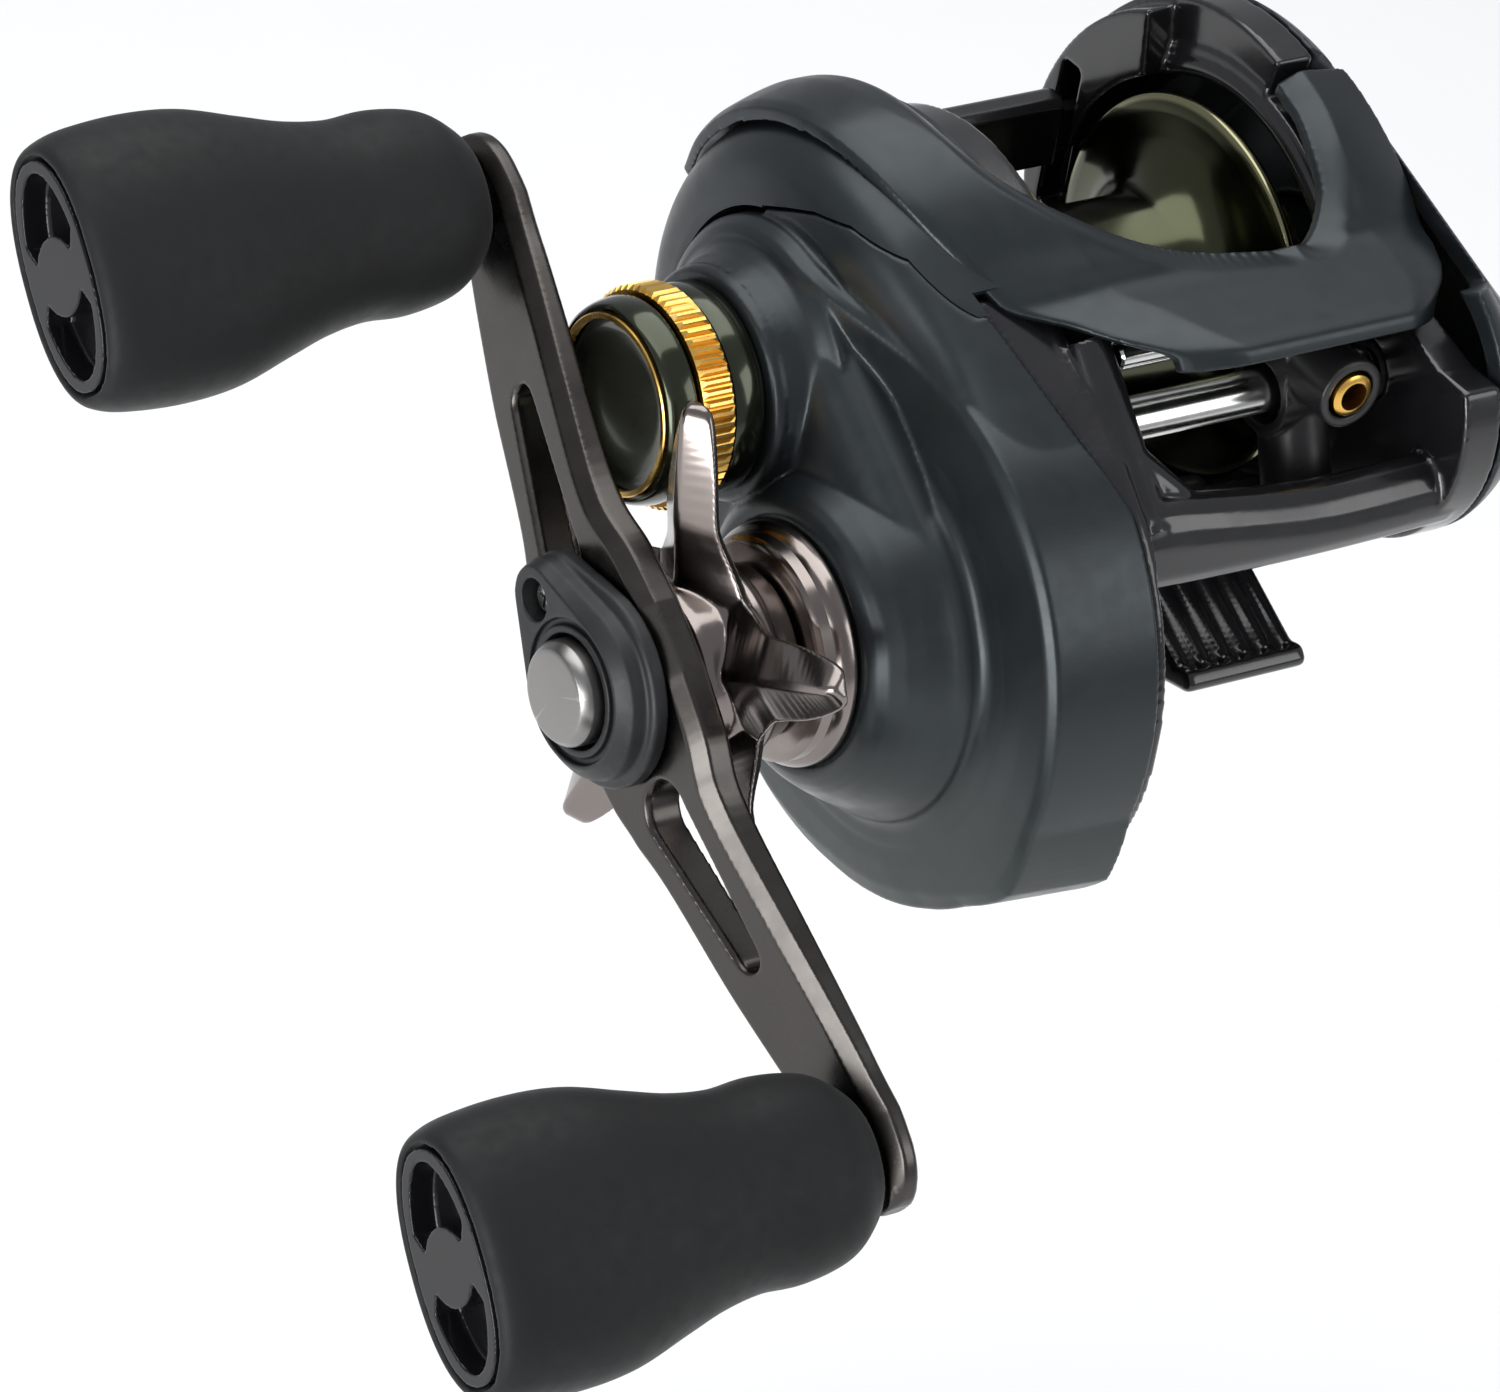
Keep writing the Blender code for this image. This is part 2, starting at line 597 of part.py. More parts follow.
# --- spool --------------------------------------------------------------------------------
def build_spool():
    half, flange = SPOOL_HALF_WIDTH, SPOOL_FLANGE_R
    arbor = 8.4
    outside = [(half, flange), (half - 0.9, flange), (half - 1.5, 12.6), (half - 3.2, 9.6),
               (half - 5.5, arbor)]
    spool = turned("spool", [(half, 3.0)] + outside
                   + [(-along, radius) for along, radius in reversed(outside)]
                   + [(-half, 6.0), (-half - 3.2, 6.0), (-half - 3.2, 5.2), (-half + 0.6, 5.2),
                      (-half + 0.6, 1.8), (half - 0.8, 1.8), (half - 0.8, 3.0)],
                   0.0, SPOOL, BRONZE_GREEN, 32, ring=True)
    rod("spool_shaft", -42.3, 22.6, 1.5, SPOOL, BRIGHT_STEEL, 20)
    ring("spool_bearing_handle", -40.6, -38.0, 3.9, 1.8, SPOOL, BRIGHT_STEEL)
    carrier = ring("brake_shoe_carrier", 12.1, 14.4, 4.9, 1.8, SPOOL, BLACK_PLASTIC, 24)
    shoes = []
    for index, (y, z) in enumerate(((1, 0), (0, 1), (-1, 0), (0, -1))):
        middle = (SPOOL[0] + 6.7 * y, SPOOL[1] + 6.7 * z)
        half = (0.35 if y else 0.8, 0.35 if z else 0.8)
        shoes.append(box(f"brake_shoe_{index + 1}", (12.9, middle[0] - half[0], middle[1] - half[1]),
                         (14.5, middle[0] + half[0], middle[1] + half[1]), MATTE_BLACK))
    return spool, carrier, shoes


build_spool()


# --- cast control cap ---------------------------------------------------------------------
def build_cast_control():
    cup = [(7.2, 0.0), (7.2, 6.0), (8.1, 6.7), (8.1, 7.7), (8.7, 7.8), (7.7, 8.3), (6.3, 8.5),
           (6.1, 8.0), (2.8, 8.0), (2.6, 8.6), (0.0, 8.6), (0.0, 6.7), (5.6, 6.7), (5.6, 3.9),
           (6.4, 3.6), (6.4, 0.0)]
    turned("cast_control_cap", cup, -36.9, SPOOL, DARK_GREEN, 30)
    outline = []
    for k in range(KNURL_TEETH):
        for share, radius in ((0.0, 9.1), (0.5, 9.1), (0.6, 8.75), (0.9, 8.75)):
            turn = math.tau * (k + share) / KNURL_TEETH
            outline.append((SPOOL[0] + radius * math.cos(turn), SPOOL[1] + radius * math.sin(turn)))
    plate("cap_knurled_ring", [outline, circle(SPOOL, 8.3, 32)], -42.8, -39.9, GOLD)
    ring("cap_trim_ring", -45.85, -45.3, 7.45, 6.95, SPOOL, GOLD, 40)
    rod("cast_control_shim", -43.0, -42.6, 3.2, SPOOL, BRASS, 24, edge=0.1)


build_cast_control()


# --- gears and pinion ---------------------------------------------------------------------
def build_gears():
    drive_module = 2 * distance(SPOOL, DRIVE) / (DRIVE_TEETH + PINION_TEETH)
    worm_module = 2 * distance(WORM, DRIVE) / (IDLE_TEETH + WORM_GEAR_TEETH)
    gear("drive_gear", DRIVE, DRIVE_TEETH, drive_module, toward(DRIVE, SPOOL), True,
         -24.4, -22.2, 2.8, BRASS)
    gear("idle_gear", DRIVE, IDLE_TEETH, worm_module, toward(DRIVE, WORM), True,
         -20.2, -18.6, 2.8, BLACK_PLASTIC)
    gear("worm_gear", WORM, WORM_GEAR_TEETH, worm_module, toward(WORM, DRIVE), False,
         -20.2, -18.6, 1.8, BRASS)
    pinion = plate("pinion_gear", [gear_outline(SPOOL, PINION_TEETH, drive_module,
                                                toward(SPOOL, DRIVE), False)], -24.7, -18.9, BRASS)
    collar = turned("pinion_collar", [(5.4, 0.0), (5.4, 3.2), (5.2, 3.4), (1.9, 3.4), (1.9, 2.4),
                                      (0.0, 2.4), (0.0, 0.0)], -24.5, SPOOL, None, 24, CUTTERS)
    cut(join(pinion, collar), rod("pinion_hole", -40.0, -10.0, 1.8, SPOOL, None, 22, CUTTERS))
    ring("pinion_bearing", -16.6, -13.8, 5.6, 3.2, SPOOL, BRIGHT_STEEL)

    lean = toward(SPOOL, DRIVE) + math.pi / 2
    ends = [(SPOOL[0] + reach * math.cos(lean), SPOOL[1] + reach * math.sin(lean))
            for reach in (-7.0, 7.0)]
    yoke_outline = hull((ends[0], 1.9), (SPOOL, 4.2), (ends[1], 1.9), count=24)
    plate("clutch_yoke", [yoke_outline, circle(SPOOL, 2.7, 22), circle(ends[0], 0.9, 8),
                          circle(ends[1], 0.9, 8)], -25.7, -25.0, MATTE_BLACK)
    return pinion


build_gears()


# --- handle side: shaft, drag and clutch --------------------------------------------------
def build_drive():
    turned("drive_shaft", [(43.9, 0.0), (43.9, 1.7), (43.6, 2.0), (30.4, 2.0), (30.4, 2.4),
                           (0.3, 2.4), (0.0, 2.1), (0.0, 0.0)], -13.6, DRIVE, BRIGHT_STEEL, 24)
    ring("drive_bearing", -16.8, -13.8, 4.8, 2.7, DRIVE, BRIGHT_STEEL)
    ring("drag_washer", -25.4, -24.7, 13.0, 2.9, DRIVE, CARBON, 26)
    ring("key_washer", -26.5, -25.7, 12.6, 2.8, DRIVE, SATIN_STEEL, 26)
    ring("roller_clutch", -36.0, -28.5, 7.0, 5.0, DRIVE, SATIN_STEEL)
    ring("clutch_tube", -38.0, -27.2, 4.6, 2.8, DRIVE, BRIGHT_STEEL)
    turned("clutch_cover_ring", [(2.9, 5.2), (2.9, 8.6), (2.5, 9.2), (1.2, 9.6), (0.9, 10.0),
                                 (0.0, 10.0), (0.0, 5.2)], -36.9, DRIVE, NICKEL, 34, ring=True)
    ring("drag_spring_washer", -39.5, -38.6, 4.4, 2.8, DRIVE, SATIN_STEEL, 24)
    plate("drag_nut", [circle(DRIVE, 4.1, 6), circle(DRIVE, 2.8, 20)], -44.0, -39.9, BRASS)


build_drive()


# --- star drag ----------------------------------------------------------------------------
STAR_ARMS = 5
STAR_TURN = 9.0                 # degrees, direction of the first arm at rest
# (radius, outer x, inner x, half width) along one arm
STAR_RIBS = ((8.0, -46.0, -42.6, 3.6), (10.4, -46.9, -43.8, 3.3), (12.2, -47.5, -46.15, 3.0),
             (17.0, -47.9, -46.2, 2.5), (21.6, -47.9, -46.3, 1.5), (22.6, -47.5, -46.6, 0.7))


def star_arm(name, degrees):
    turn = math.radians(degrees)
    out, across = (math.cos(turn), math.sin(turn)), (-math.sin(turn), math.cos(turn))
    loops = []
    for radius, outer, inner, half in STAR_RIBS:
        flank = outer + 0.4 * (inner - outer)
        loops.append([(x, DRIVE[0] + out[0] * radius + across[0] * w,
                       DRIVE[1] + out[1] * radius + across[1] * w)
                      for x, w in ((outer, -0.15 * half), (outer, 0.15 * half), (flank, half),
                                   (inner, 0.8 * half), (inner, -0.8 * half), (flank, -half))])
    return loft(name, loops, None, CUTTERS)


def build_star():
    star = turned("star_drag", [(9.0, 0.0), (9.0, 7.0), (8.2, 8.2), (7.2, 8.8), (6.4, 8.8),
                                (6.0, 8.2), (5.4, 9.4), (3.0, 9.4), (2.2, 8.0),
                                (0.0, 7.2), (0.0, 0.0)], -40.2, DRIVE, NICKEL, 30)
    join(star, *[star_arm(f"star_arm_{k + 1}", STAR_TURN + k * 360 / STAR_ARMS)
                 for k in range(STAR_ARMS)])
    bore = turned("star_bore", [(12.0, 0.0), (12.0, 2.8), (4.2, 2.8), (4.2, 4.5), (-2.0, 4.5),
                                (-2.0, 0.0)], -40.2, DRIVE, None, 28, CUTTERS)
    return cut(star, bore)


build_star()


# --- handle -------------------------------------------------------------------------------
CRANK = KNOB_SPAN / 2
ARM_OUT = (-math.cos(math.radians(ARM_ANGLE)), -math.sin(math.radians(ARM_ANGLE)))
ARM_ACROSS = (-ARM_OUT[1], ARM_OUT[0])
ARM_THICKNESS = 3.3             # at the hub
ARM_END_THICKNESS = 2.3


def on_arm(along, across=0.0):
    """(y, z) of a spot on the handle, from the drive axis toward the lower knob."""
    return (DRIVE[0] + along * ARM_OUT[0] + across * ARM_ACROSS[0],
            DRIVE[1] + along * ARM_OUT[1] + across * ARM_ACROSS[1])


def arm_loop(along, half, outer):
    """One eight-sided cut through the handle, chamfered on its outer face."""
    share = min(1.0, max(0.0, (abs(along) - 10.0) / 28.0))
    inner = outer + ARM_THICKNESS + share * (ARM_END_THICKNESS - ARM_THICKNESS)
    edge, small = min(1.3, 0.4 * half), min(0.4, 0.3 * half)
    corners = ((outer, -half + edge), (outer, half - edge), (outer + 1.0, half),
               (inner - small, half), (inner, half - small), (inner, small - half),
               (inner - small, -half), (outer + 1.0, -half))
    return [(x, *on_arm(along, w)) for x, w in corners]


def build_arm():
    stations = [(3.0, 8.6), (8.0, 8.0), (11.5, 6.9), (16.0, 6.1), (25.5, 5.8), (33.0, 5.3),
                (37.0, 4.9), (41.0, 4.7), (43.6, 4.3), (45.4, 3.3), (46.5, 1.9), (46.8, 0.9)]
    run = [(12.0, ARM_HUB_X), (25.5, -51.2), (36.0, -49.2), (40.0, ARM_END_X)]

    def outer_face(along):
        if along <= run[0][0]:
            return ARM_HUB_X
        for (a, xa), (b, xb) in zip(run, run[1:]):
            if along <= b:
                return xa + (xb - xa) * (along - a) / (b - a)
        return ARM_END_X

    half = [arm_loop(s, w, outer_face(s)) for s, w in stations]
    other = [arm_loop(-s, w, outer_face(s)) for s, w in reversed(stations)]
    arm = loft("handle_arm", other + half, GUNMETAL)
    for index, sign in enumerate((1, -1)):
        slot = plate(f"arm_slot_{index + 1}", [hull((on_arm(sign * 11.6), 2.7),
                                                    (on_arm(sign * 23.9), 1.5), count=28)],
                     -60.0, -40.0, None, CUTTERS)
        post_hole = rod(f"post_hole_{index + 1}", -60.0, -40.0, 2.3, on_arm(sign * CRANK), None,
                        20, CUTTERS)
        cut(arm, slot, post_hole)
    cut(arm, rod("arm_bore", -60.0, -40.0, 2.4, DRIVE, None, 24, CUTTERS))
    screw_hole = rod("retainer_screw_hole", -60.0, -51.4, 1.0, on_arm(-8.0), None, 12, CUTTERS)
    cut(arm, screw_hole)


def build_retainer():
    lug = on_arm(-8.0)
    loops = [section(x, hull((DRIVE, big), (lug, small), count=48))
             for x, big, small in ((-53.7, 8.3, 3.5), (-55.0, 8.3, 3.5), (-55.2, 7.5, 3.3),
                                   (-56.5, 7.3, 3.2), (-57.3, 6.2, 2.7))]
    retainer = loft("nut_retainer", loops, MATTE_BLACK)
    cut(retainer, rod("nut_room", -60.0, -50.0, 4.7, DRIVE, None, 32, CUTTERS),
        rod("screw_room", -60.0, -50.0, 1.7, lug, None, 16, CUTTERS))
    turned("retainer_screw", [(4.2, 0.0), (4.2, 1.2), (3.9, 1.4), (2.8, 1.4), (2.8, 0.7),
                              (0.0, 0.7), (0.0, 0.0)], -52.0, lug, BRIGHT_STEEL, 14)
    turned("handle_nut", [(5.2, 0.0), (5.15, 2.2), (5.0, 3.6), (4.4, 4.3), (0.0, 4.3), (0.0, 2.3),
                          (4.0, 2.3), (4.0, 0.0)], NUT_FACE_X + 5.2, DRIVE, SATIN_STEEL, 30)


build_arm()
build_retainer()


# --- knobs --------------------------------------------------------------------------------
KNOB_LONG = (-0.68, -0.733)     # (y, z) direction of the knobs' wide side
KNOB_SECTIONS = ((0.0, 10.0, 5.7), (0.7, 10.6, 6.5), (3.0, 11.25, 7.2), (8.0, 11.65, 7.6),
                 (13.0, 11.2, 7.5), (18.0, 9.8, 7.0), (22.0, 8.7, 6.5), (26.0, 8.15, 6.2),
                 (30.0, 8.3, 6.3), (34.0, 7.6, 6.0), (36.4, 6.0, 5.0), (37.5, 4.6, 4.2))
CAP_HALF = (9.3, 4.9)


def oval(centre, long_half, short_half, count=24, squareness=2.3):
    """A rounded outline, wide along KNOB_LONG."""
    points = []
    for k in range(count):
        turn = math.tau * k / count
        power = 2.0 / squareness
        a = long_half * math.copysign(abs(math.cos(turn)) ** power, math.cos(turn))
        b = short_half * math.copysign(abs(math.sin(turn)) ** power, math.sin(turn))
        points.append((a, b))
    return [on_knob(centre, a, b) for a, b in points]


def on_knob(centre, a, b):
    return (centre[0] + a * KNOB_LONG[0] - b * KNOB_LONG[1],
            centre[1] + a * KNOB_LONG[1] + b * KNOB_LONG[0])


def pocket(centre, sign):
    """Half of the cap's hollow: an oval's end that bends round the middle boss."""
    outside = [(8.4 * math.cos(math.radians(t)), 4.0 * math.sin(math.radians(t)))
               for t in range(-72, 73, 18)]
    inside = [(3.2 * math.cos(math.radians(t)), 3.2 * math.sin(math.radians(t)))
              for t in range(58, -59, -29)]
    return [on_knob(centre, sign * a, b) for a, b in outside + inside]


def build_knob(index, centre):
    loops = [section(KNOB_FACE_X + s, oval(centre, a, b)) for s, a, b in KNOB_SECTIONS]
    knob = smooth(loft(f"knob_{index}", loops, RUBBER), 50.0)
    seat = plate(f"knob_{index}_seat", [oval(centre, CAP_HALF[0] + GAP, CAP_HALF[1] + GAP)],
                 KNOB_FACE_X - 2.0, KNOB_FACE_X + 3.2, None, CUTTERS)
    bore = rod(f"knob_{index}_bore", KNOB_FACE_X + 1.0, -40.0, 3.5, centre, None, 22, CUTTERS)
    cut(knob, seat, bore)

    cap = plate(f"knob_{index}_cap", [oval(centre, *CAP_HALF)], KNOB_FACE_X, KNOB_FACE_X + 2.9,
                GLOSS_BLACK)
    for side_index, sign in enumerate((1, -1)):
        cut(cap, plate(f"knob_{index}_pocket_{side_index + 1}", [pocket(centre, sign)],
                       KNOB_FACE_X - 2.0, KNOB_FACE_X + 2.0, None, CUTTERS))

    turned(f"knob_{index}_post", [(36.8, 0.0), (36.8, 2.6), (36.4, 2.9), (35.0, 2.9), (35.0, 2.0),
                                  (0.0, 2.0), (0.0, 0.0)], -46.5, centre, BRIGHT_STEEL, 18)
    ring(f"knob_{index}_bearing", -81.3, -78.7, 3.2, 2.3, centre, BRIGHT_STEEL, 18)


build_knob(1, on_arm(CRANK))
build_knob(2, on_arm(-CRANK))


# --- level wind ---------------------------------------------------------------------------
GUIDE_X = 5.5                   # middle of the line guide at rest
EYE_Z = SPOOL_Z + 6.9
COLUMN_FOOT = (-27.0, SPOOL_Z - 9.5)


def on_column(reach):
    """(y, z) of a spot below the worm, toward the foot of the line guide's column."""
    share = reach / distance(WORM, COLUMN_FOOT)
    return (WORM[0] + share * (COLUMN_FOOT[0] - WORM[0]),
            WORM[1] + share * (COLUMN_FOOT[1] - WORM[1]))


def build_level_wind():
    rod("worm_shaft", -20.5, 16.9, 1.5, WORM, BRIGHT_STEEL, 18)
    ring("worm_bush_palm", 13.5, 16.8, 2.4, 1.8, WORM, BLACK_PLASTIC, 16)
    ring("worm_bush_handle", -17.6, -13.6, 2.4, 1.8, WORM, BLACK_PLASTIC, 16)
    rod("guide_rod", -13.0, 13.0, 1.2, GUIDE_ROD, BRIGHT_STEEL, 18)
    guard = ring("worm_guard", -12.9, 12.9, 2.35, 1.85, WORM, BRIGHT_STEEL, 22)
    a, b = on_column(0.5), on_column(6.0)
    away = Vector((b[1] - a[1], a[0] - b[0])).normalized() * 1.5
    strip = [(a[0] + away.x, a[1] + away.y), (b[0] + away.x, b[1] + away.y),
             (b[0] - away.x, b[1] - away.y), (a[0] - away.x, a[1] - away.y)]
    cut(guard, plate("guard_slot", [strip], -12.0, 12.0, None, CUTTERS))

    guide = plate("line_guide", [hull((WORM, 3.5), (GUIDE_ROD, 2.1), count=24)],
                  GUIDE_X - 3.0, GUIDE_X + 3.0, BLACK_PLASTIC)
    barrel = pin("guide_barrel", (GUIDE_X, -22.6, EYE_Z), (GUIDE_X, -28.6, EYE_Z), 3.0, None, 20,
                 CUTTERS)
    column = pin("guide_column", (GUIDE_X, *on_column(2.0)), (GUIDE_X, *on_column(10.6)), 2.9, None,
                 14, CUTTERS)
    foot = pin("guide_column_foot", (GUIDE_X, *on_column(10.0)), (GUIDE_X, *on_column(13.2)), 3.5,
               None, 18, CUTTERS)
    join(guide, barrel, column, foot)
    slot_low = on_column(13.2)
    cut(guide,
        rod("guide_worm_bore", GUIDE_X - 5.0, GUIDE_X + 5.0, 2.65, WORM, None, 18, CUTTERS),
        rod("guide_rod_bore", GUIDE_X - 5.0, GUIDE_X + 5.0, 1.5, GUIDE_ROD, None, 14, CUTTERS),
        pin("eye_bore", (GUIDE_X, -24.4, EYE_Z), (GUIDE_X, -31.0, EYE_Z), 2.2, None, 18, CUTTERS),
        pin("line_hole", (GUIDE_X, -16.0, EYE_Z), (GUIDE_X, -25.0, EYE_Z), 0.6, None, 10, CUTTERS),
        pin("pawl_bore", (GUIDE_X, *on_column(0.6)), (GUIDE_X, *on_column(8.4)), 1.5, None, 12,
            CUTTERS),
        pin("pawl_cap_slot", (GUIDE_X - 6.0, *slot_low), (GUIDE_X + 6.0, *slot_low), 0.45, None, 8,
            CUTTERS))
    pin("pawl", (GUIDE_X, *on_column(1.8)), (GUIDE_X, *on_column(8.1)), 1.2, BRIGHT_STEEL, 14)
    eye = turned("line_ring", [(2.6, 1.2), (2.6, 1.7), (2.4, 1.9), (0.0, 1.9), (0.0, 1.2)], 0.0,
                 SPOOL, GOLD, 28, ring=True)
    eye.rotation_euler = (math.pi / 2, 0.0, 0.0)
    eye.location = (GUIDE_X * MM, -26.3 * MM, EYE_Z * MM)
    return guide


build_level_wind()


# --- thumb bar ----------------------------------------------------------------------------
def build_thumb_bar():
    top, low = SPOOL_Z + 8.8, SPOOL_Z + 2.6
    outline = [(16.6, low), (20.6, low), (20.9, low + 2.0), (20.0, top - 1.4), (18.6, top),
               (17.2, top - 0.1), (16.6, top - 0.8)]
    bar = plate("thumb_bar", [outline], -11.6, 9.3, GLOSS_BLACK)
    tabs = box("thumb_tabs", (-14.2, 17.3, low + 0.8), (12.6, 18.9, top - 1.6), None, CUTTERS)
    return join(bar, tabs)


build_thumb_bar()
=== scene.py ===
# Looks of the low-profile baitcasting reel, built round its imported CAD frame.
#
# The helpers take millimetres in the frame's own axes: X runs along the spool, with the handle
# on -X and the palm side on +X; -Y is the front, and +Z is up.
import math

import bpy
import numpy as np
from mathutils import Matrix, Vector


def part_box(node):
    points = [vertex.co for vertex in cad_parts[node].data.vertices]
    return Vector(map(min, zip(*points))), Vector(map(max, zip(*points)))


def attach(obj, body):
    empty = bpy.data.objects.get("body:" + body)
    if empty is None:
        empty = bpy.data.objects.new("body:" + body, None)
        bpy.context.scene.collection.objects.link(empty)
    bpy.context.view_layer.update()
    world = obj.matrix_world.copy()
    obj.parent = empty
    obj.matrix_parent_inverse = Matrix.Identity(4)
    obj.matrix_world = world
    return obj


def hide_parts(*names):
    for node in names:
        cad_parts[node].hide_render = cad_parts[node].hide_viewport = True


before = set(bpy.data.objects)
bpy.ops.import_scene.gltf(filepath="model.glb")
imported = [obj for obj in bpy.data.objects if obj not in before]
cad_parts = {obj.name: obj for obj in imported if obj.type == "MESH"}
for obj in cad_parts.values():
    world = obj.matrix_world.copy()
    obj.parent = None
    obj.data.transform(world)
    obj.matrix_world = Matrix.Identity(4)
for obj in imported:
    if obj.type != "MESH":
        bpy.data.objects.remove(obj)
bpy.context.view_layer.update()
MM = 0.001
ROD_STEPS = 96  # sides of a plain round cutter


# --- places, from the frame ---
def axis(node):
    """(y, z) of a round node's middle."""
    low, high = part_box(node)
    return ((low.y + high.y) / 2 / MM, (low.z + high.z) / 2 / MM)


def span(node):
    """(lowest x, highest x) of a node."""
    low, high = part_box(node)
    return (low.x / MM, high.x / MM)


SPOOL = axis("spool")
DRIVE = axis("drive_shaft")
WORM = axis("worm_shaft")
GUIDE_ROD = axis("guide_rod")
DIAL = axis("brake_dial")
LOWER_KNOB = axis("knob_1_post")
UPPER_KNOB = axis("knob_2_post")
EYE_Z = axis("line_ring")[1]
GUIDE_X = sum(span("line_ring")) / 2
COVER_X = span("gear_cover")[1]  # where the handle side's casing starts
FACE_X = -36.6  # outer end of both bosses
RING_X = span("clutch_cover_ring")[1]
STAR_X = span("star_drag")[1]
NUT_X = span("handle_nut")[0]
KNOB_X = span("knob_1_cap")[0]
PALM_REAR = (2.0, SPOOL[1] + 2.2)
PALM_FRONT = (-21.5, SPOOL[1] + 2.5)
COLUMN_FOOT = (-27.0, SPOOL[1] - 9.5)


# --- meshes ---
def mesh_object(name, points, faces):
    mesh = bpy.data.meshes.new(name)
    mesh.from_pydata([Vector(point) * MM for point in points], [], faces)
    mesh.update()
    thing = bpy.data.objects.new(name, mesh)
    bpy.context.scene.collection.objects.link(thing)
    return thing


def loft(name, loops):
    """A closed solid through loops of equally many (x, y, z) points."""
    count = len(loops[0])
    points = [point for loop in loops for point in loop]
    faces = [tuple(reversed(range(count))),
        tuple(range((len(loops) - 1) * count, len(loops) * count))]
    for start in range(0, (len(loops) - 1) * count, count):
        for k in range(count):
            after = (k + 1) % count
            faces.append((start + k, start + after, start + count + after, start + count + k))
    return outward(mesh_object(name, points, faces))


def outward(thing):
    """Turn a closed solid's faces outward."""
    mesh = thing.data
    points = np.empty(len(mesh.vertices) * 3)
    mesh.vertices.foreach_get("co", points)
    points = points.reshape(-1, 3)
    mesh.calc_loop_triangles()
    corners = np.array([triangle.vertices[:] for triangle in mesh.loop_triangles])
    a, b, c = (points[corners[:, k]] for k in range(3))
    if np.einsum("ij,ij->i", a, np.cross(b, c)).sum() < 0:
        mesh.flip_normals()
    return thing


def turned(name, profile, x, centre, steps=128, ring=False):
    """Turn a profile of (outward, radius) points about the X line through centre.

    outward is counted from x toward -X. The profile runs down its outer side from the
    outermost end; a ring's profile is closed.
    """
    points, rows, faces = [], [], []
    for reach, radius in profile:
        if radius == 0.0:
            rows.append([len(points)] * steps)
            points.append((x - reach, *centre))
            continue
        rows.append(list(range(len(points), len(points) + steps)))
        points += [(x - reach, *spot) for spot in circle(centre, radius, steps)]
    pairs = list(zip(rows, rows[1:])) + ([(rows[-1], rows[0])] if ring else [])
    for one, two in pairs:
        for k in range(steps):
            after = (k + 1) % steps
            face = list(dict.fromkeys((one[k], one[after], two[after], two[k])))
            if len(face) > 2:
                faces.append(face)
    return outward(mesh_object(name, points, faces))


def rod(name, x_low, x_high, radius, centre):
    length = x_high - x_low
    return turned(name, [(length, 0.0), (length, radius), (0.0, radius), (0.0, 0.0)], x_high,
        centre, ROD_STEPS)


def tube(name, x_low, x_high, outer, inner, centre, steps=ROD_STEPS):
    length = x_high - x_low
    return turned(name, [(length, inner), (length, outer), (0.0, outer), (0.0, inner)], x_high,
        centre, steps, ring=True)


def plate(name, outline, x_low, x_high):
    """A flat solid with a (y, z) outline, between two X planes."""
    return loft(name, [section(x_low, outline), section(x_high, outline)])


def block(name, low, high):
    outline = [(low[1], low[2]), (high[1], low[2]), (high[1], high[2]), (low[1], high[2])]
    return plate(name, outline, low[0], high[0])


def bar(name, start, end, radius, end_radius=None):
    """A round bar between two points in any direction."""
    start, end = Vector(start), Vector(end)
    turn = (end - start).to_track_quat("Z", "Y")
    loops = []
    for spot, size in ((start, radius), (end, end_radius or radius)):
        loops.append([spot + turn @ Vector((*place, 0.0))
            for place in circle((0.0, 0.0), size, 64)])
    return loft(name, loops)


def section(x, outline):
    return [(x, y, z) for y, z in outline]


def stack(name, outline, rows):
    """A solid through outlines at several x; a row is x and what the outline function takes."""
    return loft(name, [section(x, outline(*sizes)) for x, *sizes in rows])


def polar(centre, radius, turn):
    """(y, z) of a spot round a centre; turn is in radians, from +Y toward +Z."""
    return (centre[0] + radius * math.cos(turn), centre[1] + radius * math.sin(turn))


def circle(centre, radius, count):
    return [polar(centre, radius, math.tau * k / count) for k in range(count)]


def toothed(centre, teeth, corners):
    """A knurled outline, each tooth through corners of (share of a tooth, radius)."""
    return [polar(centre, radius, math.tau * ((k + share) / teeth)) for k in range(teeth)
        for share, radius in corners]


def arc(centre, radius, first, last, count=48):
    """Spots along a circle between two directions in degrees."""
    return [polar(centre, radius, math.radians(first + (last - first) * k / (count - 1)))
        for k in range(count)]


def beside(centre, way, along, across=0.0):
    """(y, z) of a spot, from centre along a direction and then across it."""
    return (centre[0] + along * way[0] - across * way[1],
        centre[1] + along * way[1] + across * way[0])


def hull(*circles, count=180):
    """The evenly spaced outline of a belt round circles given as (centre, radius)."""
    points = []
    for way in circle((0.0, 0.0), 1.0, 720):
        centre, radius = max(circles, key=lambda item: item[0][0] * way[0] + item[0][1] * way[1]
            + item[1])
        points.append(beside(centre, way, radius))
    return spread(points, count)


def spread(points, count):
    """The same closed line with evenly spaced points."""
    line = np.array(points + points[:1], float)
    reach = np.concatenate(([0.0], np.cumsum(np.linalg.norm(np.diff(line, axis=0), axis=1))))
    stops = np.linspace(0.0, reach[-1], count + 1)
    spots = np.stack([np.interp(stops, reach, line[:, k]) for k in range(line.shape[1])], axis=1)
    return [tuple(spot) for spot in spots[:-1]]


def side(spool_radius, drive_radius, count=180):
    """An outline of the handle side: a belt round the spool's and the drive gear's axes."""
    return hull((SPOOL, spool_radius), (DRIVE, drive_radius), count=count)


def palm(shrink=0.0, lean=0.0):
    """An outline of the palm side; lean moves it toward the lower front."""
    rear = (PALM_REAR[0] - lean, PALM_REAR[1] - lean)
    front = (PALM_FRONT[0], PALM_FRONT[1] - lean / 2)
    return hull((rear, 20.9 - shrink), (front, 13.0 - shrink))


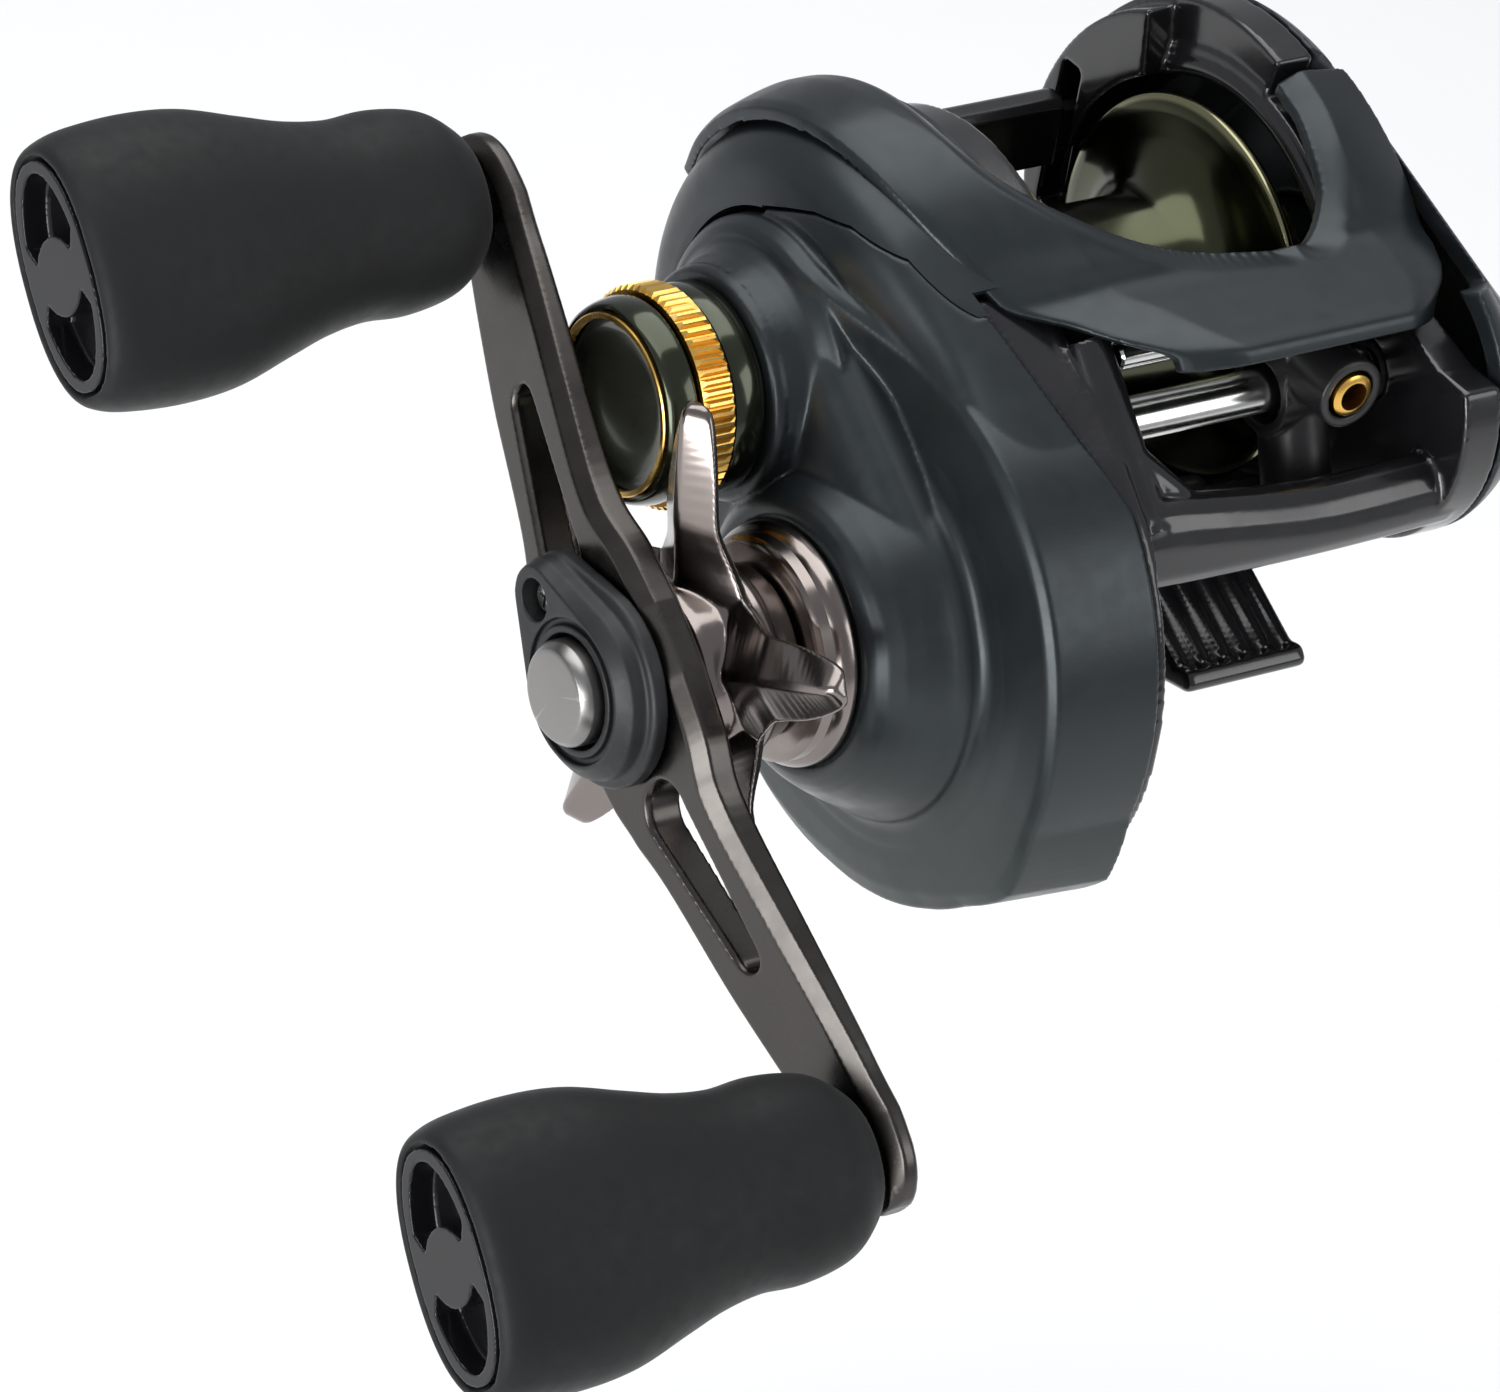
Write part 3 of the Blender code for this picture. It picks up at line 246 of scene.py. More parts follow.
def curve(rows, count):
    """Rows of numbers joined by a smooth line that passes through each of them."""
    rows = np.array(rows, float)
    ends = np.vstack((2 * rows[0] - rows[1], rows, 2 * rows[-1] - rows[-2]))
    places = np.linspace(0.0, len(rows) - 1.0, count)
    first = np.minimum(places.astype(int), len(rows) - 2)
    t = (places - first)[:, None]
    a, b, c, d = (ends[first + k] for k in range(4))
    return 0.5 * (2 * b + (c - a) * t + (2 * a - 5 * b + 4 * c - d) * t ** 2
        + (3 * b - a - 3 * c + d) * t ** 3)


# --- modifiers, applied at once ---
def bake(thing):
    """Apply every modifier."""
    bpy.context.view_layer.update()
    graph = bpy.context.evaluated_depsgraph_get()
    mesh = bpy.data.meshes.new_from_object(thing.evaluated_get(graph))
    old = thing.data
    thing.modifiers.clear()
    thing.data = mesh
    bpy.data.meshes.remove(old)
    return thing


def combine(thing, others, operation):
    for other in others:
        boolean = thing.modifiers.new("Combine", "BOOLEAN")
        boolean.operation = operation
        boolean.solver = "MANIFOLD"
        boolean.object = other
    bake(thing)
    for other in others:
        bpy.data.objects.remove(other, do_unlink=True)
    return thing


def join(thing, *others):
    return combine(thing, others, "UNION")


def carve(thing, *cutters):
    return combine(thing, cutters, "DIFFERENCE")


def soften(thing, width, segments=3, angle=30.0):
    bevel = thing.modifiers.new("Edges", "BEVEL")
    bevel.width = width * MM
    bevel.segments = segments
    bevel.limit_method = "ANGLE"
    bevel.angle_limit = math.radians(angle)
    return bake(thing)


def blend_edges(thing, voxel, passes=4):
    """Remesh finely and relax, so that every edge and joint gets a small round."""
    remesh = thing.modifiers.new("Fine", "REMESH")
    remesh.mode = "VOXEL"
    remesh.voxel_size = voxel * MM
    relax = thing.modifiers.new("Relax", "SMOOTH")
    relax.factor = 0.5
    relax.iterations = passes
    bake(thing)
    thing.data.shade_smooth()
    return thing


def shade(thing, angle=32.0):
    thing.data.shade_smooth()
    thing.data.set_sharp_from_angle(angle=math.radians(angle))
    return thing


# --- materials ---
class Recipe:
    """The nodes of one material; places are the object's own, in metres."""

    def __init__(self, name):
        self.material = bpy.data.materials.new(name)
        self.material.use_nodes = True
        self.tree = self.material.node_tree
        self.shader = self.tree.nodes["Principled BSDF"]
        self.place = self.tree.nodes.new("ShaderNodeTexCoord").outputs["Object"]

    def node(self, kind, inputs=(), **settings):
        made = self.tree.nodes.new(kind)
        for setting, value in settings.items():
            setattr(made, setting, value)
        for socket, value in dict(inputs).items():
            self.feed(made.inputs[socket], value)
        return made

    def feed(self, socket, value):
        if isinstance(value, bpy.types.NodeSocket):
            self.tree.links.new(value, socket)
        else:
            socket.default_value = value

    def noise(self, size, detail=3.0, place=None):
        """Noise whose lumps are about size millimetres across, 0 to 1."""
        return self.node("ShaderNodeTexNoise",
            {"Vector": place or self.place, "Scale": 1.0 / (size * MM),
            "Detail": detail}).outputs["Fac"]

    def stretch(self, value, low, high, to_low, to_high):
        return self.node("ShaderNodeMapRange",
            {"Value": value, "From Min": low, "From Max": high, "To Min": to_low,
            "To Max": to_high}).outputs["Result"]

    def maths(self, operation, one, two=0.0):
        return self.node("ShaderNodeMath", {0: one, 1: two}, operation=operation).outputs[0]

    def mix(self, share, one, two):
        made = self.node("ShaderNodeMix", data_type="RGBA")
        self.feed(made.inputs[0], share)
        for k, colour in ((6, one), (7, two)):
            plain = not isinstance(colour, bpy.types.NodeSocket)
            self.feed(made.inputs[k], (*colour, 1.0) if plain else colour)
        return made.outputs[2]

    def part(self, letter):
        """One coordinate of the place."""
        return self.node("ShaderNodeSeparateXYZ", {0: self.place}).outputs[letter]

    def radius(self, centre):
        """Distance from the X line through centre, in metres."""
        y = self.maths("SUBTRACT", self.part("Y"), centre[0] * MM)
        z = self.maths("SUBTRACT", self.part("Z"), centre[1] * MM)
        return self.maths("SQRT", self.maths("ADD", self.maths("MULTIPLY", y, y),
            self.maths("MULTIPLY", z, z)))


WORN_EDGE = (0.53, 0.60)  # pointiness where wear starts and is full


def finish(name, colour, metallic, roughness, vary=0.08, vary_size=7.0, uneven=0.05, grain=0.004,
        grain_size=0.3, worn=None, wear=0.3, brushed=None, lathe=None, painted_low_light=None, rim=None,
        **fixed):
    """A surface finish with colour variation, uneven roughness, grain, worn edges and painted
    light.

    brushed is (rotation, scale) of lines left by a belt, lathe is (centre, pitch) of rings
    left by turning, painted_low_light is (colour, z below, z above) of painted light, lighter and
    greener toward the bottom, and rim is (centre, radius, colour) of a painted highlight round a
    rim.
    """
    made = Recipe(name)
    broad = made.noise(vary_size)
    base = made.mix(broad, [c * (1.0 - vary) for c in colour], [c * (1.0 + vary) for c in colour])
    # Painted light: the lower part is made lighter and greener, as if lit from below.
    if painted_low_light:
        painted_light, below, above = painted_low_light
        share = made.stretch(made.part("Z"), below * MM, above * MM, 1.0, 0.0)
        base = made.mix(share, base, painted_light)
    # Painted highlight: a brighter band outside the given radius, round the spool flange's rim.
    if rim:
        centre, radius, painted_rim_highlight = rim
        share = made.stretch(made.radius(centre), radius * MM, (radius + 0.3) * MM, 0.0, 1.0)
        base = made.mix(share, base, painted_rim_highlight)
    rough = made.stretch(made.noise(grain_size * 9.0, 5.0), 0.3, 0.7, roughness - uneven,
        roughness + uneven)
    if worn:
        edge = made.node("ShaderNodeNewGeometry").outputs["Pointiness"]
        share = made.stretch(edge, *WORN_EDGE, 0.0, wear)
        share = made.maths("MULTIPLY", share, made.stretch(made.noise(1.6, 4.0), 0.35, 0.6, 0.35,
            1.0))
        base = made.mix(share, base, worn)
    made.feed(made.shader.inputs["Base Color"], base)
    made.feed(made.shader.inputs["Roughness"], rough)
    made.shader.inputs["Metallic"].default_value = metallic
    height = made.noise(grain_size, 2.0)
    if brushed:
        lines = made.node("ShaderNodeMapping",
            {"Vector": made.place, "Rotation": brushed[0], "Scale": brushed[1]}).outputs[0]
        height = made.maths("ADD", height, made.noise(0.35, 2.0, lines))
    if lathe:
        centre, pitch = lathe
        rings = made.node("ShaderNodeCombineXYZ", {0: made.radius(centre)}).outputs[0]
        height = made.maths("ADD", height, made.noise(pitch, 2.0, rings))
    bump = made.node("ShaderNodeBump", {"Strength": 1.0, "Distance": grain * MM, "Height": height})
    made.feed(made.shader.inputs["Normal"], bump.outputs[0])
    for socket, value in fixed.items():
        made.shader.inputs[socket.replace("_", " ")].default_value = value
    return made.material


ARM_LINES = ((math.radians(-35.0), 0.0, 0.0), (1.0, 0.06, 1.0))
# charcoal_paint carries painted light: lighter and greener toward the bottom, as if lit from
# below.
CHARCOAL = finish("charcoal_paint", (0.021, 0.027, 0.030), 0.6, 0.35, vary=0.10, grain=0.006,
    grain_size=0.22, painted_low_light=((0.036, 0.046, 0.044), -24.0, 10.0), Coat_Weight=0.15,
    Coat_Roughness=0.3)
BLACK = finish("gloss_black", (0.007, 0.007, 0.008), 0.0, 0.2, vary=0.2, grain=0.003,
    grain_size=0.4, worn=(0.03, 0.03, 0.032), Coat_Weight=0.35, Coat_Roughness=0.12)
PLASTIC = finish("black_plastic", (0.009, 0.009, 0.010), 0.0, 0.38, vary=0.2, grain=0.004,
    worn=(0.03, 0.03, 0.03))
CAP_BLACK = finish("cap_plastic", (0.006, 0.006, 0.007), 0.0, 0.14, vary=0.2, uneven=0.04,
    grain=0.002, grain_size=0.5, worn=(0.03, 0.03, 0.03), Coat_Weight=0.15, Coat_Roughness=0.08,
    Specular_IOR_Level=0.25)
GUNMETAL = finish("satin_gunmetal", (0.072, 0.067, 0.063), 1.0, 0.28, grain=0.0016,
    worn=(0.3, 0.28, 0.27), wear=0.25, brushed=ARM_LINES)
NICKEL = finish("polished_nickel", (0.235, 0.205, 0.192), 1.0, 0.19, vary=0.06, uneven=0.04,
    grain=0.0008, grain_size=0.4, worn=(0.55, 0.5, 0.47))
STEEL = finish("satin_steel", (0.27, 0.262, 0.255), 1.0, 0.32, vary=0.06, grain=0.0012,
    worn=(0.7, 0.68, 0.66), wear=0.5, lathe=(DRIVE, 0.12))
MATTE = finish("matte_black", (0.0045, 0.005, 0.006), 0.0, 0.5, vary=0.12, grain=0.006,
    grain_size=0.18, worn=(0.035, 0.036, 0.039))
RUBBER = finish("knob_rubber", (0.0040, 0.0045, 0.0050), 0.0, 0.6, vary=0.18, vary_size=9.0,
    uneven=0.06, grain=0.008, grain_size=0.16, Sheen_Weight=0.08, Sheen_Roughness=0.4,
    Specular_IOR_Level=0.3)
GREEN = finish("dark_green_anodised", (0.030, 0.036, 0.020), 0.9, 0.18, vary=0.15, uneven=0.03,
    grain=0.0008, grain_size=0.4, worn=(0.12, 0.13, 0.1), lathe=(SPOOL, 0.1), Coat_Weight=0.5,
    Coat_Roughness=0.08)
GOLD = finish("gold_anodised", (0.78, 0.44, 0.08), 1.0, 0.24, grain=0.0008, worn=(0.95, 0.72, 0.3),
    wear=0.6)
# The spool's flange rim is painted brighter here as a painted highlight.
BRONZE = finish("bronze_green_anodised", (0.060, 0.064, 0.038), 1.0, 0.18, uneven=0.03,
    grain=0.0010, grain_size=0.4, worn=(0.3, 0.3, 0.2), wear=0.4, lathe=(SPOOL, 0.12),
    rim=(SPOOL, 15.3, (0.26, 0.25, 0.15)))
BRASS = finish("brass", (0.60, 0.42, 0.16), 1.0, 0.28, vary=0.1, grain=0.001,
    worn=(0.8, 0.62, 0.3), wear=0.4)
BRIGHT = finish("bright_steel", (0.62, 0.62, 0.60), 1.0, 0.16, vary=0.05, uneven=0.03,
    grain=0.0006, grain_size=0.4, worn=(0.85, 0.85, 0.84), wear=0.4)
CARBON = finish("carbon_fibre", (0.03, 0.03, 0.032), 0.1, 0.5, vary=0.3, vary_size=0.8, grain=0.01,
    grain_size=0.5)


def coat(mesh, material):
    mesh.materials.clear()
    mesh.materials.append(material)


def fit(piece, body, material, *nodes):
    """Give a piece its material, let it ride on its body, and hide the CAD nodes it stands for."""
    coat(piece.data, material)
    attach(piece, body)
    if nodes:
        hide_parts(*nodes)


# --- gear cover ---
SPREAD = math.hypot(SPOOL[0] - DRIVE[0], SPOOL[1] - DRIVE[1])
CORNER_TURN = 210.0  # degrees, where the rim has its corner
CORNER_WIDTH = 15.0
FLAT_TURN = 255.0  # degrees, where the rim is flattened
FLAT_WIDTH = 40.0


def rim(spool_radius, drive_radius, corner=0.0, flat=0.0):
    """The gear cover's outline, with its corner at the lower front and a flatter stretch below."""
    points = []
    for y, z in side(spool_radius, drive_radius, 240):
        turn = math.degrees(math.atan2(z - DRIVE[1], y - DRIVE[0])) % 360.0
        grow = corner * max(0.0, 1.0 - abs(turn - CORNER_TURN) / CORNER_WIDTH)
        shrink = flat * max(0.0, 1.0 - abs(turn - FLAT_TURN) / FLAT_WIDTH)
        reach = grow - min(shrink, 0.6 * flat)
        points.append(polar((y, z), reach, math.radians(turn)))
    return points


def ease(value):
    value = min(1.0, max(0.0, value))
    return value * value * (3.0 - 2.0 * value)


def shoulder(x, outline, lift):
    """A section whose x runs further out round the spool's end, where the rim wall is wider."""
    along = ((SPOOL[0] - DRIVE[0]) / SPREAD, (SPOOL[1] - DRIVE[1]) / SPREAD)
    points = []
    for y, z in outline:
        share = ((y - DRIVE[0]) * along[0] + (z - DRIVE[1]) * along[1]) / SPREAD
        points.append((x - lift * ease((share - 0.62) / 0.66), y, z))
    return points


def cheek_wedge(name, slack):
    """The slanted room between the gear cover's front edge and the frame."""
    along = Vector((0.69, 0.72))
    across = Vector((-0.6, 0.8))
    low = Vector((-34.0, SPOOL[1] - 3.0)) - along * slack
    high = Vector((-16.4, SPOOL[1] + 12.5)) + along * (2.0 + slack)
    loops = []
    for reach in (-4.5, 9.0):
        corners = []
        for x, spot in ((-16.6, low), (-23.4 - slack, high), (-16.6, high)):
            place = spot + across * reach
            corners.append((x - slack if x < -20 else x, place.x, place.y))
        loops.append(corners)
    return loft(name, loops)


# (angle about the spool axis, radius) of the joint between the cover and the casing behind it
CASING_JOINT = ((70, 12.0), (72, 13.4), (85, 14.2), (97, 15.6), (110, 17.4), (125, 19.4),
    (142, 21.4))


def casing(name, operation):
    """The casing round the cover's upper end, kept only behind or before their joint."""
    levels = curve([(COVER_X, 20.6, 24.3, 0.0), (-21.5, 20.6, 24.2, 0.0), (-24.5, 20.4, 24.0, 0.3),
        (-26.4, 19.8, 23.6, 0.8), (-27.6, 18.6, 22.8, 1.3), (-28.2, 16.8, 21.4, 1.8),
        (-28.4, 14.0, 19.4, 2.2)], 29)
    shell = loft(name, [shoulder(x, side(a, b, 240), lift) for x, a, b, lift in levels])
    hollow = stack("housing_hollow", side, ((-10.0, 17.9, 22.6), (-25.8, 17.6, 22.6),
        (-27.0, 16.0, 20.0)))
    carve(shell, hollow, cheek_wedge("wedge", 0.3))
    gap = 0.0 if operation == "INTERSECT" else 0.22
    joint = [polar(SPOOL, radius + gap, math.radians(turn)) for turn, radius in CASING_JOINT]
    joint = [(y + gap, z) for y, z in joint]
    front = [(joint[-1][0], 55.0), (-60.0, 55.0), (-60.0, -40.0), (joint[0][0], -40.0)]
    return combine(shell, [plate("joint", joint + front, -40.0, -10.0)], operation)


def build_gear_cover():
    cover = loft("gear_cover_shell", [section(COVER_X, rim(13.2, 24.5, 1.5)),
        shoulder(-27.7, rim(12.9, 24.1, 1.2, 1.0), 3.6),
        shoulder(-28.3, rim(12.3, 23.3, 0.9, 2.2), 3.9),
        shoulder(-28.6, rim(11.6, 20.6, 0.4, 1.2), 4.0), shoulder(-28.8, rim(10.4, 17.6), 3.9)])
    root = -27.0
    length = root - FACE_X
    drag_boss = turned("drag_boss", [(length, 0.0), (length, 11.0), (length - 0.35, 11.7),
        (8.6, 12.4), (7.4, 13.3), (6.0, 14.2), (4.8, 14.9), (3.9, 15.5), (3.5, 15.8), (3.3, 15.9),
        (2.6, 16.0), (2.2, 16.4), (1.95, 17.0), (1.8, 18.2), (0.0, 18.2), (0.0, 0.0)], root, DRIVE)
    cap_boss = turned("cap_boss", [(length, 0.0), (length, 9.2), (length - 0.4, 9.6), (8.0, 9.8),
        (6.8, 10.2), (5.8, 10.9), (5.2, 11.7), (4.8, 12.4), (0.0, 12.4), (0.0, 0.0)], root, SPOOL)
    ridge = curve([(-28.0, 11.9, 15.9), (-30.5, 11.8, 15.7), (-31.5, 11.4, 15.0),
        (-32.4, 10.8, 14.2), (-33.2, 9.9, 13.0), (-33.8, 8.6, 11.6), (-34.2, 7.0, 9.9),
        (-34.3, 5.0, 7.6)], 29)
    web = stack("boss_web", side, ridge)
    collar = rod("cap_spigot", -41.8, -36.0, 6.3, SPOOL)
    join(cover, web, drag_boss, cap_boss, collar, casing("cover_front", "INTERSECT"))
    room = stack("gear_room", side, ((-10.0, 11.9, 23.1), (-25.0, 11.7, 23.0), (-25.3, 10.5, 21.4),
        (-26.9, 10.0, 15.0)))
    recess = turned("ring_recess", [(12.0, 0.0), (12.0, 10.35), (9.3, 10.25), (9.0, 0.0)], root,
        DRIVE)
    spool_bore = turned("spool_bore", [(20.0, 0.0), (20.0, 4.2), (13.5, 4.2), (13.5, 4.7),
        (0.0, 4.7), (0.0, 0.0)], -24.0, SPOOL)
    seams = [tube(f"cap_seam_{k}", x - 0.14, x + 0.14, 12.0, 9.35, SPOOL)
        for k, x in enumerate((-36.1, -35.4, -34.7))]
    carve(cover, cheek_wedge("wedge", 0.3), room, recess, rod("clutch_bore", -45, -26, 7.4, DRIVE),
        spool_bore, *seams)
    blend_edges(cover, 0.2, 5)
    fit(cover, "housing", CHARCOAL, "gear_cover")


build_gear_cover()


# --- strip between the gear cover and the hood ---
def build_housing():
    strip = casing("gear_housing_shell", "DIFFERENCE")
    carve(strip, plate("cover_room", side(13.5, 24.8), -40.0, -10.0))
    liner = plate("hood_liner", arc(SPOOL, 19.9, 12, 128) + arc(SPOOL, 18.2, 128, 12), -25.0,
        -18.2)
    join(strip, liner)
    shade(strip, 24)
    fit(strip, "housing", CHARCOAL, "gear_housing")


build_housing()


# --- top hood ---
HOOD_RADIUS = 22.58
HOOD_SHELL = 1.1
# (angle about the spool axis, left edge, opening's left edge, right edge, opening's right edge)
HOOD_ARMS = ((20, -27.0, -19.4, 17.6, 14.8), (32, -27.8, -19.4, 17.6, 14.8),
    (44, -28.2, -19.4, 17.6, 14.8), (56, -28.4, -19.4, 17.6, 14.8), (68, -28.5, -19.4, 17.6, 14.8),
    (79, -28.4, -19.4, 17.6, 14.8), (90, -28.1, -19.4, 18.6, 14.8),
    (101, -27.5, -19.0, 19.8, 13.1), (111, -26.7, -17.6, 20.4, 12.8),
    (120, -25.6, -14.6, 20.8, 12.2), (129, -24.0, -10.0, 21.0, 11.6),
    (137, -22.3, -4.2, 21.0, 10.6))
# (y, z above the spool axis, left edge, right edge)
HOOD_LIP = ((-18.2, 14.2, -20.9, 20.8), (-21.2, 13.8, -17.4, 20.0), (-24.6, 13.4, -14.4, 18.3),
    (-27.4, 12.9, -11.2, 15.6), (-28.2, 11.6, -10.6, 15.0))
PALM_SEAM = 101  # degrees, where the hood's palm side arm starts
OPENING_END = 141.0  # degrees, front end of the opening
OPENING_ROUND = 5.0  # mm, rounding of the opening's front corners
HOOD_ROWS, HOOD_COLUMNS = 190, 150
ARM_ROWS = 170  # rows that still turn round the spool's axis
OPEN_SIDE = 30.0  # x beyond the hood, where the opening has no arm beside it
FLAT_SHARE = 0.42  # share of each flank that stays flat
FRONT_STARTS, FRONT_BLEND = 26.0, 16.0  # mm along the hood, where its front shape takes over
OPENING_ROLL, LEFT_ROLL = 2.2, 0.8  # mm, widths of the rolled edges


def hood_spine():
    """Fine rows of (y, z, left, right, opening left, opening right) and each row's run."""
    rows = [(*polar(SPOOL, HOOD_RADIUS, math.radians(turn)), left, right, inner, palm_inner)
        for turn, left, inner, right, palm_inner in HOOD_ARMS]
    rows += [(y, SPOOL[1] + z, left, right, 3.0, 9.8) for y, z, left, right in HOOD_LIP]
    fine = curve(rows, HOOD_ROWS)
    run = np.concatenate(([0.0], np.cumsum(np.linalg.norm(np.diff(fine[:, :2], axis=0), axis=1))))
    return fine, run


def hood_opening(fine, run):
    """(row index, left, right) of the opening on each row that has it, with rounded corners."""
    turns = [math.degrees(math.atan2(row[1] - SPOOL[1], row[0] - SPOOL[0])) for row in fine]
    end = np.interp(OPENING_END, turns[:ARM_ROWS], run[:ARM_ROWS])
    rows = []
    for k, row in enumerate(fine):
        left_over = end - run[k]
        if left_over <= 0.05:
            break
        pinch = 0.0
        if left_over < OPENING_ROUND:
            pinch = OPENING_ROUND - math.sqrt(OPENING_ROUND ** 2
                - (OPENING_ROUND - left_over) ** 2)
        right = OPEN_SIDE if turns[k] < PALM_SEAM else row[5] - 0.5 * pinch
        left = min(row[4] + pinch, 6.0)
        rows.append((k, left, max(right, left + 0.3)))
    return rows


def flank(distance, width):
    """How far a spot lies down a flank: 0 on its flat part, 1 at the hood's edge."""
    return max(0.0, 1.0 - distance / width - FLAT_SHARE) / (1.0 - FLAT_SHARE)


def build_hood():
    fine, run = hood_spine()
    opening = hood_opening(fine, run)
    edge = np.array([(x, run[k]) for k, left, right in opening
        for x in (left, right) if x < OPEN_SIDE])
    outer, inner = [], []
    for k, (y, z, left, right, open_left, _) in enumerate(fine):
        down = Vector((y - SPOOL[0], z - SPOOL[1])).normalized()
        front = ease((run[k] - FRONT_STARTS) / FRONT_BLEND)
        steep = 1.3 + 0.5 * front
        left_width = (open_left - left) * (1.0 - front) + 0.36 * (right - left) * front
        right_width = 0.28 * (right - left)
        for c in range(HOOD_COLUMNS):
            x = left + (right - left) * c / (HOOD_COLUMNS - 1)
            near = np.hypot(edge[:, 0] - x, edge[:, 1] - run[k]).min()
            fall = steep * flank(x - left, left_width) ** 1.3
            fall += (0.5 + 1.9 * front) * flank(right - x, right_width) ** 1.6
            fall += 1.4 * max(0.0, 1.0 - near / OPENING_ROLL) ** 1.5
            fall += 0.3 * max(0.0, 1.0 - (x - left) / LEFT_ROLL)
            place = Vector((y, z)) - down * fall
            under = place - down * HOOD_SHELL
            outer.append((x, place.x, place.y))
            inner.append((x, under.x, under.y))
    count, columns = len(outer), HOOD_COLUMNS
    faces = []
    for k in range(len(fine) - 1):
        for c in range(columns - 1):
            a = k * columns + c
            ring = (a, a + 1, a + columns + 1, a + columns)
            faces.append(ring)
            faces.append(tuple(count + v for v in reversed(ring)))
    border = [k * columns for k in range(len(fine))]
    border += [(len(fine) - 1) * columns + c for c in range(1, columns)]
    border += [k * columns + columns - 1 for k in reversed(range(len(fine) - 1))]
    border += list(reversed(range(1, columns - 1)))
    for a, b in zip(border, border[1:] + border[:1]):
        faces.append((a, b, b + count, a + count))
    hood = outward(mesh_object("hood_shell", outer + inner, faces))
    loops = []
    previous = None
    for k, left, right in opening:
        y, z = fine[k][:2]
        down = Vector((y - SPOOL[0], z - SPOOL[1])).normalized()
        if previous and previous - right > 5.0:
            loops.append(opening_loop(y, z, down, left, previous, 0.02))
        loops.append(opening_loop(y, z, down, left, right, 0.0))
        previous = right
    carve(hood, loft("hood_opening", loops))
    blend_edges(hood, 0.17, 5)
    fit(hood, "housing", CHARCOAL, "top_hood")


def opening_loop(y, z, down, left, right, back):
    """One cut through the opening's cutter, from under the hood to over it."""
    along = Vector((down.y, -down.x)) * back
    low, high = Vector((y, z)) - down * 7.0 + along, Vector((y, z)) + down * 4.0 + along
    return [(left, *low), (right, *low), (right, *high), (left, *high)]


build_hood()


# --- palm side plate and brake dial ---
def build_palm_plate():
    levels = curve([(17.3, 0.0, 0.0), (19.2, 0.9, 0.4), (22.0, 2.9, 1.6), (24.2, 5.0, 2.4),
        (25.2, 7.4, 2.8)], 21)
    shell = stack("palm_side_shell", palm, levels)
    hollow = stack("palm_hollow", palm, ((16.0, 1.9), (19.0, 2.6, 0.4), (21.6, 4.5, 1.6),
        (23.2, 6.4, 2.4)))
    step = stack("palm_step", palm, ((24.9, 11.0, 3.2), (26.4, 10.4, 3.2)))
    carve(shell, hollow)
    join(shell, rod("palm_hub", 19.4, 24.6, 5.4, SPOOL))
    room = plate("hood_room", arc(SPOOL, 19.2, 97, 154) + arc(SPOOL, 31.0, 154, 97), 12.0, 21.3)
    groove_core = stack("palm_groove_core", palm, ((20.0, 1.9, 0.9), (21.2, 2.1, 1.0)))
    groove_wide = plate("palm_groove_wide", palm(-2.0), 20.4, 20.75)
    carve(groove_wide, groove_core)
    carve(shell, rod("palm_hub_bore", 15.0, 23.2, 4.3, SPOOL),
        rod("dial_window", 16.9, 30.0, 6.4, DIAL), room, step, groove_wide)
    blend_edges(shell, 0.24, 4)
    fit(shell, "palm_side", CHARCOAL, "palm_side_plate")


def build_dial():
    low, high = span("brake_dial")
    teeth = toothed(DIAL, 40, ((0.05, 6.0), (0.45, 6.0), (0.58, 5.65), (0.92, 5.65)))
    dial = plate("brake_dial_knurled", teeth, low, high)
    trim = rod("dial_trim", high - 0.7, high + 1.0, 7.0, DIAL)
    carve(trim, turned("dial_crown", [(3.0, 0.0), (3.0, 5.6), (2.3, 5.6), (2.0, 5.2), (1.4, 4.4),
        (1.4, 0.0)], high + 1.6, DIAL))
    carve(dial, trim, rod("dial_bore", low - 1.0, high + 1.0, 2.0, DIAL))
    soften(dial, 0.12, 2)
    fit(shade(dial), "dial", MATTE, "brake_dial")


build_palm_plate()
build_dial()


# --- frame with foot ---
FOOT_X = -1.6
FOOT_HALF_LENGTH = 31.5
THROUGH_WALL = (-20.0, -10.0)


def foot_outline():
    """Side view of the foot: flat below with lifted tips, ramps rising toward the middle."""
    tip, ramp_end = FOOT_HALF_LENGTH, 14.5
    half = [(24.0, 0.0), (tip - 0.6, 1.4), (tip, 2.2), (tip - 1.0, 3.4), (tip - 2.4, 3.0),
        (ramp_end + 3.0, 8.8), (ramp_end, 10.2), (9.5, 6.6)]
    mirrored = [(-y, z) for y, z in reversed(half)]
    return half + [(0.0, 1.5)] + mirrored


def front_bar():
    """The rounded bar below the window, bowed a little toward the front."""
    loops = []
    for share, x in zip(np.linspace(-1.0, 1.0, 25), np.linspace(-16.8, 15.0, 25)):
        back = 0.5 * share ** 2
        low, high = SPOOL[1] - 5.1, SPOOL[1] + 0.8 + 1.9 * ease(0.25 - 0.75 * share)
        loops.append([(x, y + back, z) for y, z in ((-29.2, low + 0.4), (-29.1, high - 1.3),
            (-29.6, high - 0.4), (-30.5, high), (-31.5, high - 0.15), (-32.5, high - 0.8),
            (-33.2, high - 1.9), (-33.6, high - 3.3), (-33.6, low + 1.7), (-33.1, low + 0.6),
            (-32.2, low), (-30.2, low))])
    return loft("front_bar", loops)


